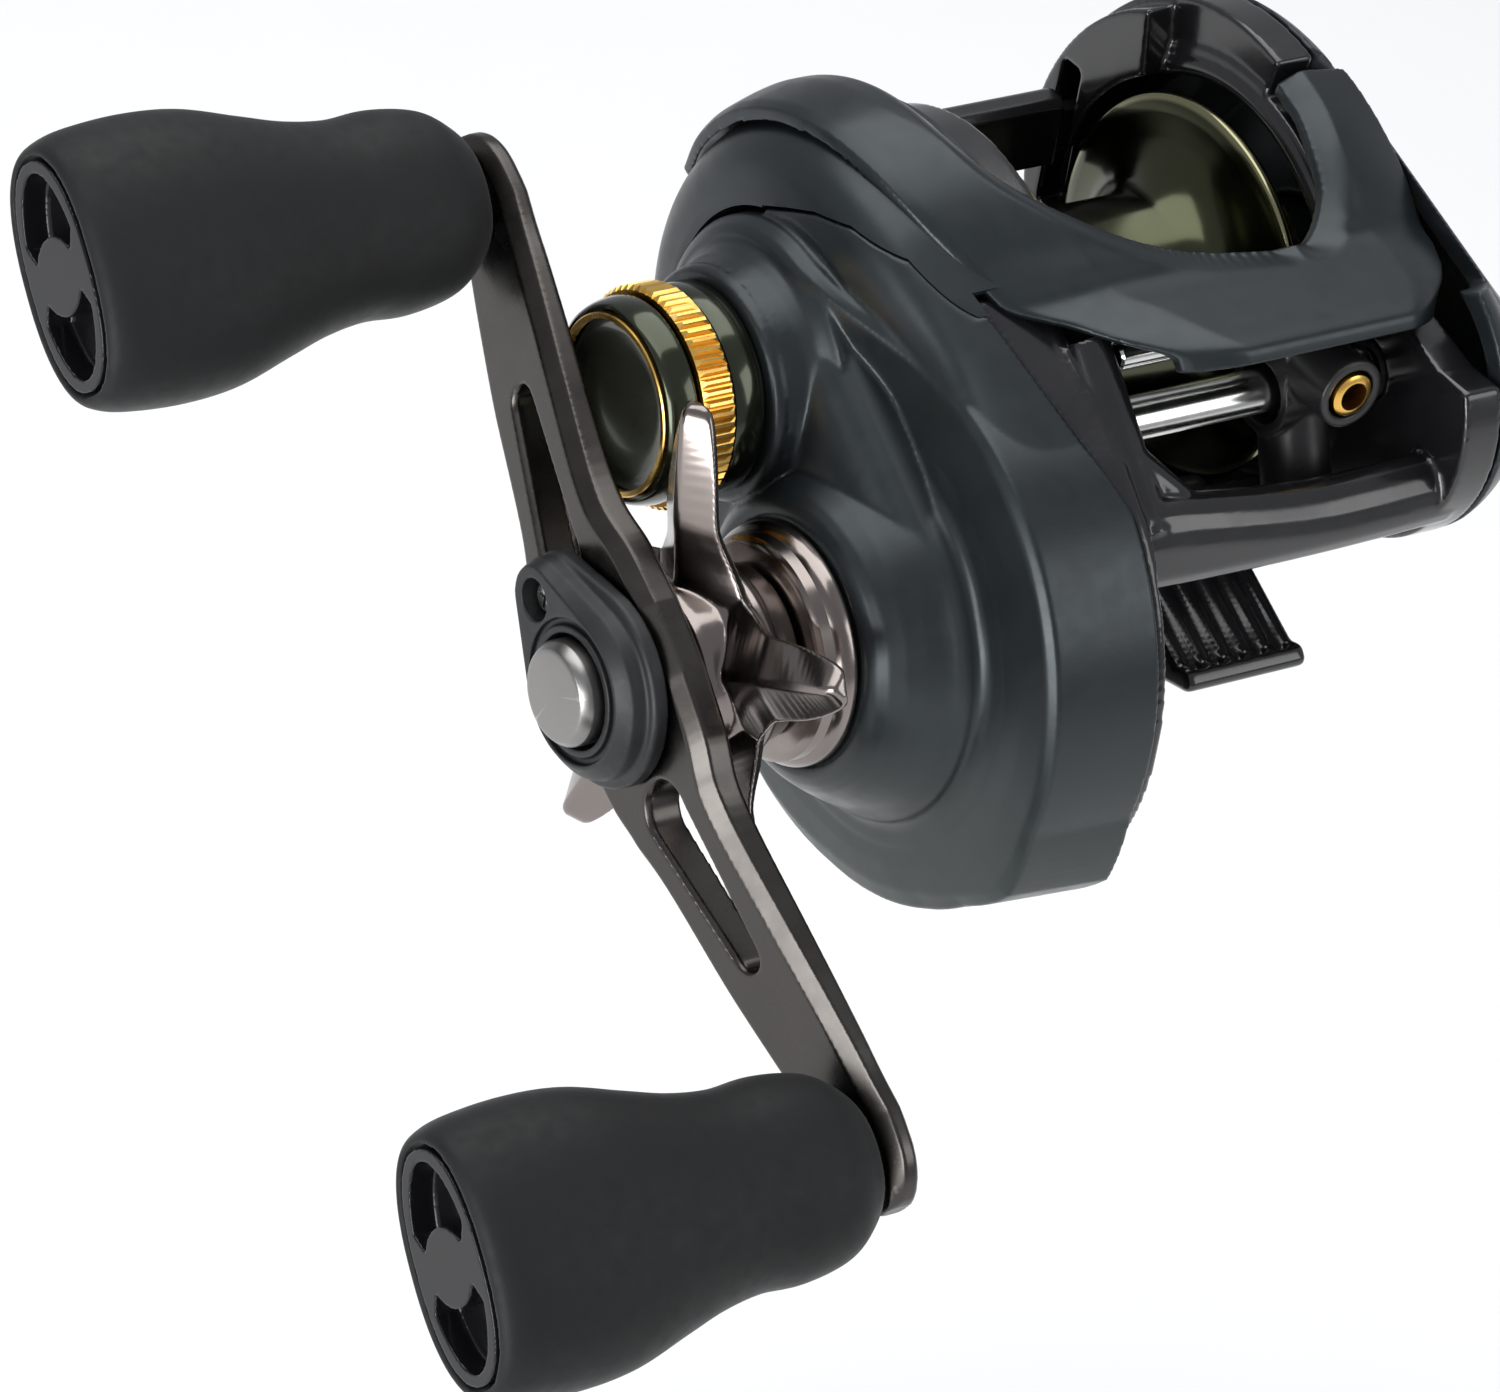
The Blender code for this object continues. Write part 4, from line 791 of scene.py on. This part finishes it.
def build_frame():
    body = plate("frame_body", side(19.3, 23.9), -17.8, -17.0)
    pad = plate("wall_pad", hull((SPOOL, 19.0), (DRIVE, 9.0), (WORM, 4.5)), -17.4, -13.3)
    wall = plate("palm_wall", palm(0.06), 13.3, 17.0)
    thumb_block = plate("thumb_block", arc(SPOOL, 17.3, -25, 58) + arc(PALM_REAR, 20.0, 66, -25),
        10.4, 14.0)
    bridge = plate("bridge", arc(SPOOL, 16.9, -138, -42) + arc(SPOOL, 18.3, -42, -138), -15.0,
        15.0)
    foot = plate("foot", foot_outline(), FOOT_X - 6.0, FOOT_X + 6.0)
    soften(foot, 0.7, 3, 20)
    tie = block("rear_tie", (-14.6, 15.0, 4.5), (14.6, 18.6, 7.5))
    cheek = cheek_wedge("cheek", 0.0)
    bound = plate("cheek_bound", side(19.2, 23.8), -25.0, -16.0)
    combine(cheek, [bound], "INTERSECT")
    ledge = turned("wall_ledge", [(-1.0, 16.6), (-0.2, 16.95), (0.3, 17.3), (0.45, 17.9),
        (0.3, 18.4), (0.0, 18.7), (-0.1, 19.6), (-1.0, 20.0)], 13.0, SPOOL, ring=True)
    post = bar("window_post", (-15.3, -19.5, 29.3), (-15.3, -31.6, 18.2), 2.0)
    corner = bar("window_corner", (-15.3, -27.0, 22.6), (-9.6, -31.2, 18.4), 1.9, 1.3)
    join(body, pad, wall, thumb_block, bridge, foot, front_bar(), tie, cheek, ledge, post, corner)
    lip_seat = [(y, SPOOL[1] + z) for y, z in ((-19.5, 10.6), (-24.0, 9.5), (-29.5, 8.0),
        (-36.0, 8.0), (-36.0, 16.0))]
    seat = plate("hood_seat", arc(SPOOL, 19.3, 99, 146) + lip_seat + arc(SPOOL, 32.0, 146, 99),
        12.0, 19.6)
    slots = [block("thumb_slot", (8.0, 16.9, SPOOL[1] - 2.5), (13.0, 19.3, SPOOL[1] + 11.0)),
        block("thumb_slot_left", (-14.6, 16.9, SPOOL[1] - 2.5), (-12.0, 19.3, SPOOL[1] + 9.4))]
    grooves = [bar(f"foot_groove_{k}_{end}", (FOOT_X + x, end * 30.2, 2.85),
        (FOOT_X + x, end * 16.6, 9.7), 0.7) for k, x in enumerate((-4.3, -2.15, 0.0, 2.15, 4.3))
        for end in (-1, 1)]
    carve(body, seat, rod("spool_hole", 10.0, 20.0, 17.0, SPOOL),
        rod("palm_bush_bore", 12.0, 20.0, 2.7, WORM),
        rod("pinion_bore", *THROUGH_WALL, 6.0, SPOOL),
        rod("drive_bore", *THROUGH_WALL, 5.1, DRIVE), rod("bush_bore", *THROUGH_WALL, 2.7, WORM),
        *slots, *grooves)
    blend_edges(body, 0.24, 4)
    fit(body, "housing", BLACK, "frame")


build_frame()


# --- spool ---
def build_spool():
    half, flange, arbor = 11.5, 16.0, 8.4
    flank = ((0.0, flange - 0.25), (0.2, flange), (0.8, flange), (1.0, flange - 0.3), (1.25, 14.4),
        (1.5, 12.6), (2.2, 10.9), (3.2, 9.6), (4.3, 8.8), (5.5, arbor))
    outside = [(half - inset, radius) for inset, radius in flank]
    profile = ([(half, 3.0)] + outside + [(-along, radius) for along, radius in reversed(outside)]
        + [(-half, 6.0), (-half - 3.2, 6.0), (-half - 3.2, 5.2), (-half + 0.6, 5.2),
        (-half + 0.6, 1.8), (half - 0.8, 1.8), (half - 0.8, 3.0)])
    spool = turned("spool_turned", profile, 0.0, SPOOL, 160, ring=True)
    soften(spool, 0.12, 2, 25)
    fit(shade(spool, 40), "spool", BRONZE, "spool")


build_spool()


# --- cast control cap ---
def build_cast_control():
    base = -36.9
    profile = [(7.2, 0.0), (7.3, 4.0), (7.5, 5.6), (7.8, 6.3), (8.1, 6.7), (8.1, 7.7), (8.5, 7.72),
        (8.7, 7.8), (8.6, 8.0), (8.0, 8.25), (7.4, 8.4), (6.5, 8.5), (6.3, 8.45), (6.1, 8.0),
        (2.8, 8.0), (2.7, 8.5), (2.5, 8.6), (0.2, 8.6), (0.0, 8.5), (0.0, 6.7), (5.6, 6.7),
        (5.6, 3.9), (6.4, 3.6), (6.4, 0.0)]
    cap = turned("cast_cap_shell", profile, base, SPOOL, 160)
    fit(shade(cap, 50), "cast_cap", GREEN, "cast_control_cap")

    teeth = toothed(SPOOL, 64, ((0.0, 8.72), (0.28, 9.1), (0.55, 9.1), (0.83, 8.72)))
    low, high = span("cap_knurled_ring")
    knurl = plate("cap_knurled_band", teeth, low, high)
    for name, x, lean in (("front_chamfer", low, 1.0), ("rear_chamfer", high, -1.0)):
        carve(knurl, turned(name, [(0.0, 8.75), (0.0, 10.5), (-0.5 * lean, 10.5),
            (-0.5 * lean, 9.25)], x, SPOOL, ring=True))
    carve(knurl, rod("knurl_bore", low - 1.0, high + 1.0, 8.3, SPOOL))
    fit(shade(knurl, 25), "cast_cap", GOLD, "cap_knurled_ring")

    low, high = span("cap_trim_ring")
    trim = turned("cap_trim_band", [(high - low, 6.97), (high - low, 7.35),
        (high - low - 0.1, 7.45), (0.0, 7.45), (0.0, 6.95)], high, SPOOL, 160, ring=True)
    fit(shade(trim, 40), "cast_cap", GOLD, "cap_trim_ring")


build_cast_control()


# --- clutch ring and star drag ---
def build_clutch_ring():
    profile = [(2.9, 5.2), (2.9, 8.5), (2.7, 8.9), (2.4, 9.2), (1.5, 9.35), (1.3, 9.6), (0.9, 9.9),
        (0.6, 10.0), (0.0, 10.0), (0.0, 5.2)]
    band = turned("clutch_cover_band", profile, RING_X, DRIVE, 160, ring=True)
    fit(shade(band, 28), "housing", NICKEL, "clutch_cover_ring")


STAR_ARMS = 5
STAR_TURN = 9.0  # degrees, direction of the first arm at rest
# (radius, outer x, inner x, half width, ridge half width) along one arm
STAR_RIBS = ((5.0, -47.7, -44.4, 6.6, 0.5), (7.5, -47.8, -44.5, 5.7, 0.4),
    (9.5, -47.9, -44.9, 4.6, 0.35), (11.5, -48.1, -45.7, 3.8, 0.3),
    (13.2, -48.3, -46.2, 3.45, 0.3), (17.0, -48.4, -46.3, 3.0, 0.28),
    (19.6, -48.4, -46.3, 2.45, 0.26), (21.4, -48.3, -46.3, 1.9, 0.24),
    (22.2, -48.0, -46.4, 1.4, 0.22), (22.6, -47.6, -46.7, 0.8, 0.2))


def star_arm(name, degrees):
    out = polar((0.0, 0.0), 1.0, math.radians(degrees))
    loops = []
    for radius, outer, inner, half, ridge in curve(STAR_RIBS, 33):
        flank = outer + 0.72 * (inner - outer)
        loops.append([(x, *beside(DRIVE, out, radius, w))
            for x, w in ((outer, -ridge), (outer, ridge), (flank, half), (inner, 0.9 * half),
            (inner, -0.9 * half), (flank, -half))])
    return loft(name, loops)


def build_star():
    star = turned("star_hub", [(9.0, 0.0), (9.0, 6.4), (8.8, 6.8), (8.2, 7.1), (6.4, 7.4),
        (5.6, 8.2), (5.2, 9.2), (4.9, 9.5), (4.5, 9.4), (4.2, 8.6), (3.8, 8.2), (3.2, 8.3),
        (2.6, 8.2), (2.2, 7.6), (0.2, 7.2), (0.0, 7.0), (0.0, 0.0)], STAR_X, DRIVE)
    arms = [star_arm(f"star_arm_{k + 1}", STAR_TURN + k * 360 / STAR_ARMS)
        for k in range(STAR_ARMS)]
    join(star, *arms)
    carve(star, turned("star_bore", [(12.0, 0.0), (12.0, 2.8), (4.2, 2.8), (4.2, 4.5), (-2.0, 4.5),
        (-2.0, 0.0)], STAR_X, DRIVE))
    star.name = "star_drag_wheel"
    blend_edges(star, 0.16, 3)
    fit(star, "star", NICKEL, "star_drag")


build_clutch_ring()
build_star()


# --- handle ---
CRANK = math.hypot(LOWER_KNOB[0] - DRIVE[0], LOWER_KNOB[1] - DRIVE[1])
ARM_OUT = ((LOWER_KNOB[0] - DRIVE[0]) / CRANK, (LOWER_KNOB[1] - DRIVE[1]) / CRANK)
ARM_HUB_X = span("handle_arm")[0]
THROUGH_HANDLE = (-60.0, -40.0)
THROUGH_RETAINER = (-60.0, -50.0)
# (distance from the middle, half width)
ARM_STATIONS = ((3.0, 8.6), (8.0, 8.0), (11.5, 6.9), (16.0, 6.1), (25.5, 5.8), (33.0, 5.3),
    (37.0, 4.9), (41.0, 4.7), (43.6, 4.3), (45.4, 3.3), (46.5, 1.9), (46.8, 0.9))
# (distance from the middle, how far the outer face lies behind the hub's, thickness)
ARM_RUN = ((0.0, 0.0, 3.3), (12.0, 0.0, 3.25), (25.5, 2.2, 2.8), (36.0, 4.2, 2.4),
    (40.0, 4.9, 2.3), (47.0, 4.9, 2.3))


def on_arm(along, across=0.0):
    """(y, z) of a spot on the handle, from the drive axis toward the lower knob."""
    return beside(DRIVE, ARM_OUT, along, across)


def arm_loop(along, half):
    """One cut through the handle, with a wide chamfer on its outer face."""
    run = np.array(ARM_RUN)
    outer = ARM_HUB_X + np.interp(abs(along), run[:, 0], run[:, 1])
    inner = outer + np.interp(abs(along), run[:, 0], run[:, 2])
    edge, small = min(1.35, 0.4 * half), min(0.35, 0.3 * half)
    corners = ((outer, -half + edge), (outer, half - edge), (outer + 0.95, half),
        (inner - small, half), (inner, half - small), (inner, small - half),
        (inner - small, -half), (outer + 0.95, -half))
    return [(x, *on_arm(along, w)) for x, w in corners]


def arm_slot(sign, grow):
    """The outline of one arm's slot, wider by grow."""
    return hull((on_arm(sign * 11.6), 2.7 + grow), (on_arm(sign * 23.9), 1.5 + grow))


def build_arm():
    stations = curve(ARM_STATIONS, 60)
    half = [arm_loop(s, w) for s, w in stations]
    other = [arm_loop(-s, w) for s, w in reversed(stations)]
    arm = loft("handle_arm_machined", other + half)
    cutters = [rod("arm_bore", *THROUGH_HANDLE, 2.4, DRIVE),
        rod("retainer_screw_hole", -60.0, -51.4, 1.0, on_arm(-8.0))]
    run = np.array(ARM_RUN)
    for sign in (1, -1):
        cutters.append(rod("post_hole", *THROUGH_HANDLE, 2.3, on_arm(sign * CRANK)))
        cutters.append(plate("slot", arm_slot(sign, 0.0), *THROUGH_HANDLE))
        edge = []
        for grow, depth in ((0.75, -0.6), (0.0, 0.45)):
            loop = []
            for y, z in arm_slot(sign, grow):
                along = abs((y - DRIVE[0]) * ARM_OUT[0] + (z - DRIVE[1]) * ARM_OUT[1])
                loop.append((ARM_HUB_X + np.interp(along, run[:, 0], run[:, 1]) + depth, y, z))
            edge.append(loop)
        cutters.append(loft("slot_chamfer", edge))
    carve(arm, *cutters)
    blend_edges(arm, 0.14, 3)
    fit(arm, "handle", GUNMETAL, "handle_arm")


def build_retainer():
    lug = on_arm(-8.0)
    levels = ((-53.7, 8.3, 3.5), (-54.8, 8.3, 3.5), (-55.05, 8.05, 3.4), (-55.15, 7.5, 3.3),
        (-56.3, 7.3, 3.2), (-56.7, 6.9, 3.0), (-57.3, 6.2, 2.7))
    retainer = loft("nut_retainer_cover", [section(x, hull((DRIVE, big), (lug, small)))
        for x, big, small in levels])
    boss_edge = tube("boss_edge", -57.6, -56.7, 5.9, 5.3, DRIVE)
    carve(retainer, rod("nut_room", *THROUGH_RETAINER, 4.7, DRIVE),
        rod("screw_room", *THROUGH_RETAINER, 1.75, lug), boss_edge)
    blend_edges(retainer, 0.14, 3)
    fit(retainer, "handle", MATTE, "nut_retainer")

    nut = turned("handle_nut_cap", [(5.2, 0.0), (5.2, 3.3), (5.1, 3.75), (4.6, 4.15), (4.3, 4.3),
        (0.0, 4.3), (0.0, 2.3), (4.0, 2.3), (4.0, 0.0)], NUT_X + 5.2, DRIVE, 160)
    soften(nut, 0.1, 2, 20)
    fit(shade(nut, 40), "handle", STEEL, "handle_nut")

    screw = turned("retainer_screw_head", [(4.2, 0.0), (4.2, 1.1), (4.05, 1.3), (3.8, 1.4),
        (2.8, 1.4), (2.8, 0.7), (0.0, 0.7), (0.0, 0.0)], -52.0, lug)
    cross = [block(f"screw_cross_{k}", (-57.0, lug[0] - a, lug[1] - b),
        (-55.6, lug[0] + a, lug[1] + b)) for k, (a, b) in enumerate(((0.16, 0.95), (0.95, 0.16)))]
    carve(screw, *cross)
    fit(shade(screw, 30), "handle", BRIGHT, "retainer_screw")


build_arm()
build_retainer()


# --- knobs ---
KNOB_LONG = (-0.68, -0.733)  # (y, z) direction of the knobs' wide side
# (distance from the face, long half, short half)
KNOB_SECTIONS = ((0.0, 10.0, 5.7), (0.7, 10.6, 6.5), (3.0, 11.25, 7.2), (8.0, 11.59, 7.6),
    (13.0, 11.2, 7.5), (18.0, 9.8, 7.0), (22.0, 8.7, 6.5), (26.0, 8.15, 6.2), (30.0, 8.3, 6.3),
    (34.0, 7.6, 6.0), (36.4, 6.0, 5.0), (37.5, 4.6, 4.2))
CAP_LONG, CAP_SHORT = 9.3, 4.9
OVAL_SPOTS, OVAL_POWER = 144, 2.0 / 2.3


def oval(centre, long_half, short_half):
    """A rounded outline, wide along KNOB_LONG."""
    points = []
    for u, v in circle((0.0, 0.0), 1.0, OVAL_SPOTS):
        a = long_half * math.copysign(abs(u) ** OVAL_POWER, u)
        b = short_half * math.copysign(abs(v) ** OVAL_POWER, v)
        points.append(beside(centre, KNOB_LONG, a, b))
    return spread(points, OVAL_SPOTS)


def pocket(centre, sign):
    """Half of the cap's hollow: an oval's end that bends round the middle boss."""
    outside = [(8.3 * math.cos(math.radians(t)), 4.0 * math.sin(math.radians(t)))
        for t in range(-68, 69, 4)]
    inside = arc((0.0, 0.0), 3.2, 60, -60, 21)
    return [beside(centre, KNOB_LONG, sign * a, b) for a, b in outside + inside]


def build_knob(index, body, centre):
    loops = [section(KNOB_X + s, oval(centre, a, b)) for s, a, b in curve(KNOB_SECTIONS, 90)]
    knob = loft(f"knob_{index}_grip", loops)
    seat = plate("seat", oval(centre, CAP_LONG + 0.3, CAP_SHORT + 0.3), KNOB_X - 2.0, KNOB_X + 3.2)
    carve(knob, seat, rod("knob_bore", KNOB_X + 1.0, -40.0, 3.5, centre))
    blend_edges(knob, 0.3, 4)
    fit(knob, body, RUBBER, f"knob_{index}")

    cap = plate(f"knob_{index}_cap_shell", oval(centre, CAP_LONG, CAP_SHORT), KNOB_X, KNOB_X + 2.9)
    pockets = [plate("pocket", pocket(centre, sign), KNOB_X - 2.0, KNOB_X + 2.2)
        for sign in (1, -1)]
    carve(cap, *pockets)
    blend_edges(cap, 0.14, 4)
    fit(cap, body, CAP_BLACK, f"knob_{index}_cap")

    post = turned(f"knob_{index}_post_turned",
        [(36.8, 0.0), (36.8, 2.5), (36.7, 2.7), (36.4, 2.9), (35.0, 2.9), (35.0, 2.0), (0.2, 2.0),
        (0.0, 1.8), (0.0, 0.0)], -46.5, centre, ROD_STEPS)
    fit(shade(post, 35), "handle", BRIGHT, f"knob_{index}_post")


build_knob(1, "knob_lower", LOWER_KNOB)
build_knob(2, "knob_upper", UPPER_KNOB)


# --- level wind ---
def on_column(reach):
    """(y, z) of a spot below the worm, toward the foot of the line guide's column."""
    share = reach / math.hypot(COLUMN_FOOT[0] - WORM[0], COLUMN_FOOT[1] - WORM[1])
    return (WORM[0] + share * (COLUMN_FOOT[0] - WORM[0]),
        WORM[1] + share * (COLUMN_FOOT[1] - WORM[1]))


def build_level_wind():
    low, high = span("guide_rod")
    rail = turned("guide_rail", [(high - low, 0.0), (high - low, 1.0), (high - low - 0.2, 1.2),
        (0.2, 1.2), (0.0, 1.0), (0.0, 0.0)], high, GUIDE_ROD)
    fit(shade(rail, 35), "housing", BRIGHT, "guide_rod")

    low, high = span("worm_guard")
    guard = tube("worm_guard_tube", low, high, 2.0, 1.72, WORM, 128)
    a, b = Vector(on_column(0.5)), Vector(on_column(6.0))
    away = Vector((b.y - a.y, a.x - b.x)).normalized() * 1.5
    strip = [tuple(a + away), tuple(b + away), tuple(b - away), tuple(a - away)]
    carve(guard, plate("guard_slot", strip, -12.0, 12.0))
    fit(shade(guard, 30), "housing", BRIGHT, "worm_guard")

    guide = plate("line_guide_carriage", hull((WORM, 3.5), (GUIDE_ROD, 2.1)), GUIDE_X - 3.0,
        GUIDE_X + 3.0)
    join(guide, bar("eye_barrel", (GUIDE_X, -22.6, EYE_Z), (GUIDE_X, -28.6, EYE_Z), 3.0),
        bar("column", (GUIDE_X, *on_column(2.0)), (GUIDE_X, *on_column(10.6)), 2.9),
        bar("column_foot", (GUIDE_X, *on_column(10.0)), (GUIDE_X, *on_column(13.2)), 3.5))
    slot_low = on_column(13.2)
    through = (GUIDE_X - 5.0, GUIDE_X + 5.0)
    carve(guide, rod("worm_bore", *through, 2.65, WORM),
        rod("rail_bore", *through, 1.5, GUIDE_ROD),
        bar("eye_bore", (GUIDE_X, -24.4, EYE_Z), (GUIDE_X, -31.0, EYE_Z), 2.15),
        bar("line_hole", (GUIDE_X, -16.0, EYE_Z), (GUIDE_X, -25.0, EYE_Z), 1.0),
        bar("pawl_bore", (GUIDE_X, *on_column(0.6)), (GUIDE_X, *on_column(8.4)), 1.5),
        bar("pawl_cap_slot", (GUIDE_X - 6.0, *slot_low), (GUIDE_X + 6.0, *slot_low), 0.45))
    blend_edges(guide, 0.16, 3)
    fit(guide, "guide", PLASTIC, "line_guide")

    eye = turned("line_ring_insert", [(2.6, 1.25), (2.55, 1.6), (2.4, 1.85), (2.1, 1.9),
        (0.0, 1.9), (0.0, 1.2), (1.9, 1.2)], 0.0, (0.0, 0.0), ring=True)
    eye.data.transform(Matrix.Translation(Vector((GUIDE_X, -26.3, EYE_Z)) * MM)
        @ Matrix.Rotation(math.pi / 2, 4, "Z"))
    fit(shade(eye, 40), "guide", GOLD, "line_ring")


build_level_wind()


# --- thumb bar ---
def build_thumb_bar():
    low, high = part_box("thumb_bar")[0].z / MM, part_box("thumb_bar")[1].z / MM
    outline = [(16.6, low), (20.6, low), (20.9, low + 2.0), (20.7, low + 3.4), (20.0, high - 1.4),
        (18.9, high - 0.1), (18.4, high), (17.2, high - 0.1), (16.6, high - 0.8)]
    thumb = plate("thumb_bar_pad", outline, -11.6, 9.3)
    join(thumb, block("thumb_tabs", (-14.2, 17.3, low + 0.8), (12.6, 18.9, high - 1.6)))
    ribs = [block(f"thumb_rib_{k}", (-9.0, 20.75, low + z), (6.8, 21.5, low + z + 0.35))
        for k, z in enumerate((1.2, 2.1, 3.0))]
    carve(thumb, *ribs)
    blend_edges(thumb, 0.2, 3)
    fit(thumb, "thumb", BLACK, "thumb_bar")


build_thumb_bar()


# --- CAD nodes that keep their shape ---
KEPT = {
    BRIGHT: ("brake_dial_pin", "spool_bearing_palm", "spool_bearing_handle", "spool_shaft",
        "pinion_bearing", "drive_shaft", "drive_bearing", "clutch_tube", "knob_1_bearing",
        "knob_2_bearing", "worm_shaft", "pawl"),
    BRASS: ("brake_drum", "cast_control_shim", "drive_gear", "worm_gear", "pinion_gear",
        "drag_nut"),
    PLASTIC: ("brake_shoe_carrier", "idle_gear", "worm_bush_palm", "worm_bush_handle"),
    MATTE: ("brake_shoe_1", "brake_shoe_2", "brake_shoe_3", "brake_shoe_4", "clutch_yoke"),
    STEEL: ("key_washer", "roller_clutch", "drag_spring_washer"),
    CARBON: ("drag_washer",),
}
for kept_finish, kept_nodes in KEPT.items():
    for kept in kept_nodes:
        coat(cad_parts[kept].data, kept_finish)


# --- floor, light and camera ---
FLOOR_HALF = 900.0
FLOOR_Z = (-111.0, -110.0)
WORLD_COLOUR = (0.94, 0.96, 1.0, 1.0)
WORLD_STRENGTH = 0.42
AIM = (-0.02, -0.01, 0.01)  # metres, what the lights point at
# (name, place and size in metres, watts)
LIGHTS = (("overhead", (-0.04, 0.16, 0.62), (0.9, 0.6), 4.4),
    ("left", (-0.60, -0.28, -0.02), (0.4, 0.5), 5.0),
    ("right_front", (0.35, -0.55, 0.30), (0.3, 0.4), 1.0))
SENSOR, LENS = 36.0, 228.0  # mm
CAMERA_PLACE = (-0.4476, -0.5100, 0.3965)
CAMERA_RIGHT = Vector((0.818578, -0.553975, 0.151798))
CAMERA_UP = Vector((0.192296, 0.513324, 0.836374))


def build_floor():
    corners = [(x * FLOOR_HALF, y * FLOOR_HALF) for x, y in ((-1, -1), (1, -1), (1, 1), (-1, 1))]
    floor = loft("floor", [[(x, y, z) for x, y in corners] for z in FLOOR_Z])
    floor.data.materials.append(finish("floor_paper", (0.93, 0.93, 0.93), 0.0, 0.7, vary=0.01,
        vary_size=120.0, grain=0.02, grain_size=1.5))


def build_light():
    world = bpy.data.worlds.new("studio")
    world.use_nodes = True
    background = world.node_tree.nodes["Background"]
    background.inputs["Color"].default_value = WORLD_COLOUR
    background.inputs["Strength"].default_value = WORLD_STRENGTH
    bpy.context.scene.world = world
    for name, place, size, power in LIGHTS:
        lamp = bpy.data.lights.new(name, "AREA")
        lamp.shape = "RECTANGLE"
        lamp.size, lamp.size_y = size
        lamp.energy = power
        thing = bpy.data.objects.new(name, lamp)
        thing.location = place
        thing.rotation_euler = (Vector(AIM) - Vector(place)).to_track_quat("-Z", "Y").to_euler()
        bpy.context.scene.collection.objects.link(thing)


def build_camera():
    lens = bpy.data.cameras.new("camera")
    lens.sensor_width = SENSOR
    lens.lens = LENS
    lens.clip_start = 0.01
    camera = bpy.data.objects.new("camera", lens)
    back = CAMERA_RIGHT.cross(CAMERA_UP).normalized()
    turn = Matrix((CAMERA_RIGHT, CAMERA_UP, back)).transposed().to_4x4()
    camera.matrix_world = Matrix.Translation(CAMERA_PLACE) @ turn
    bpy.context.scene.collection.objects.link(camera)
    bpy.context.scene.camera = camera
    bpy.context.scene.view_settings.view_transform = "Standard"


build_floor()
build_light()
build_camera()
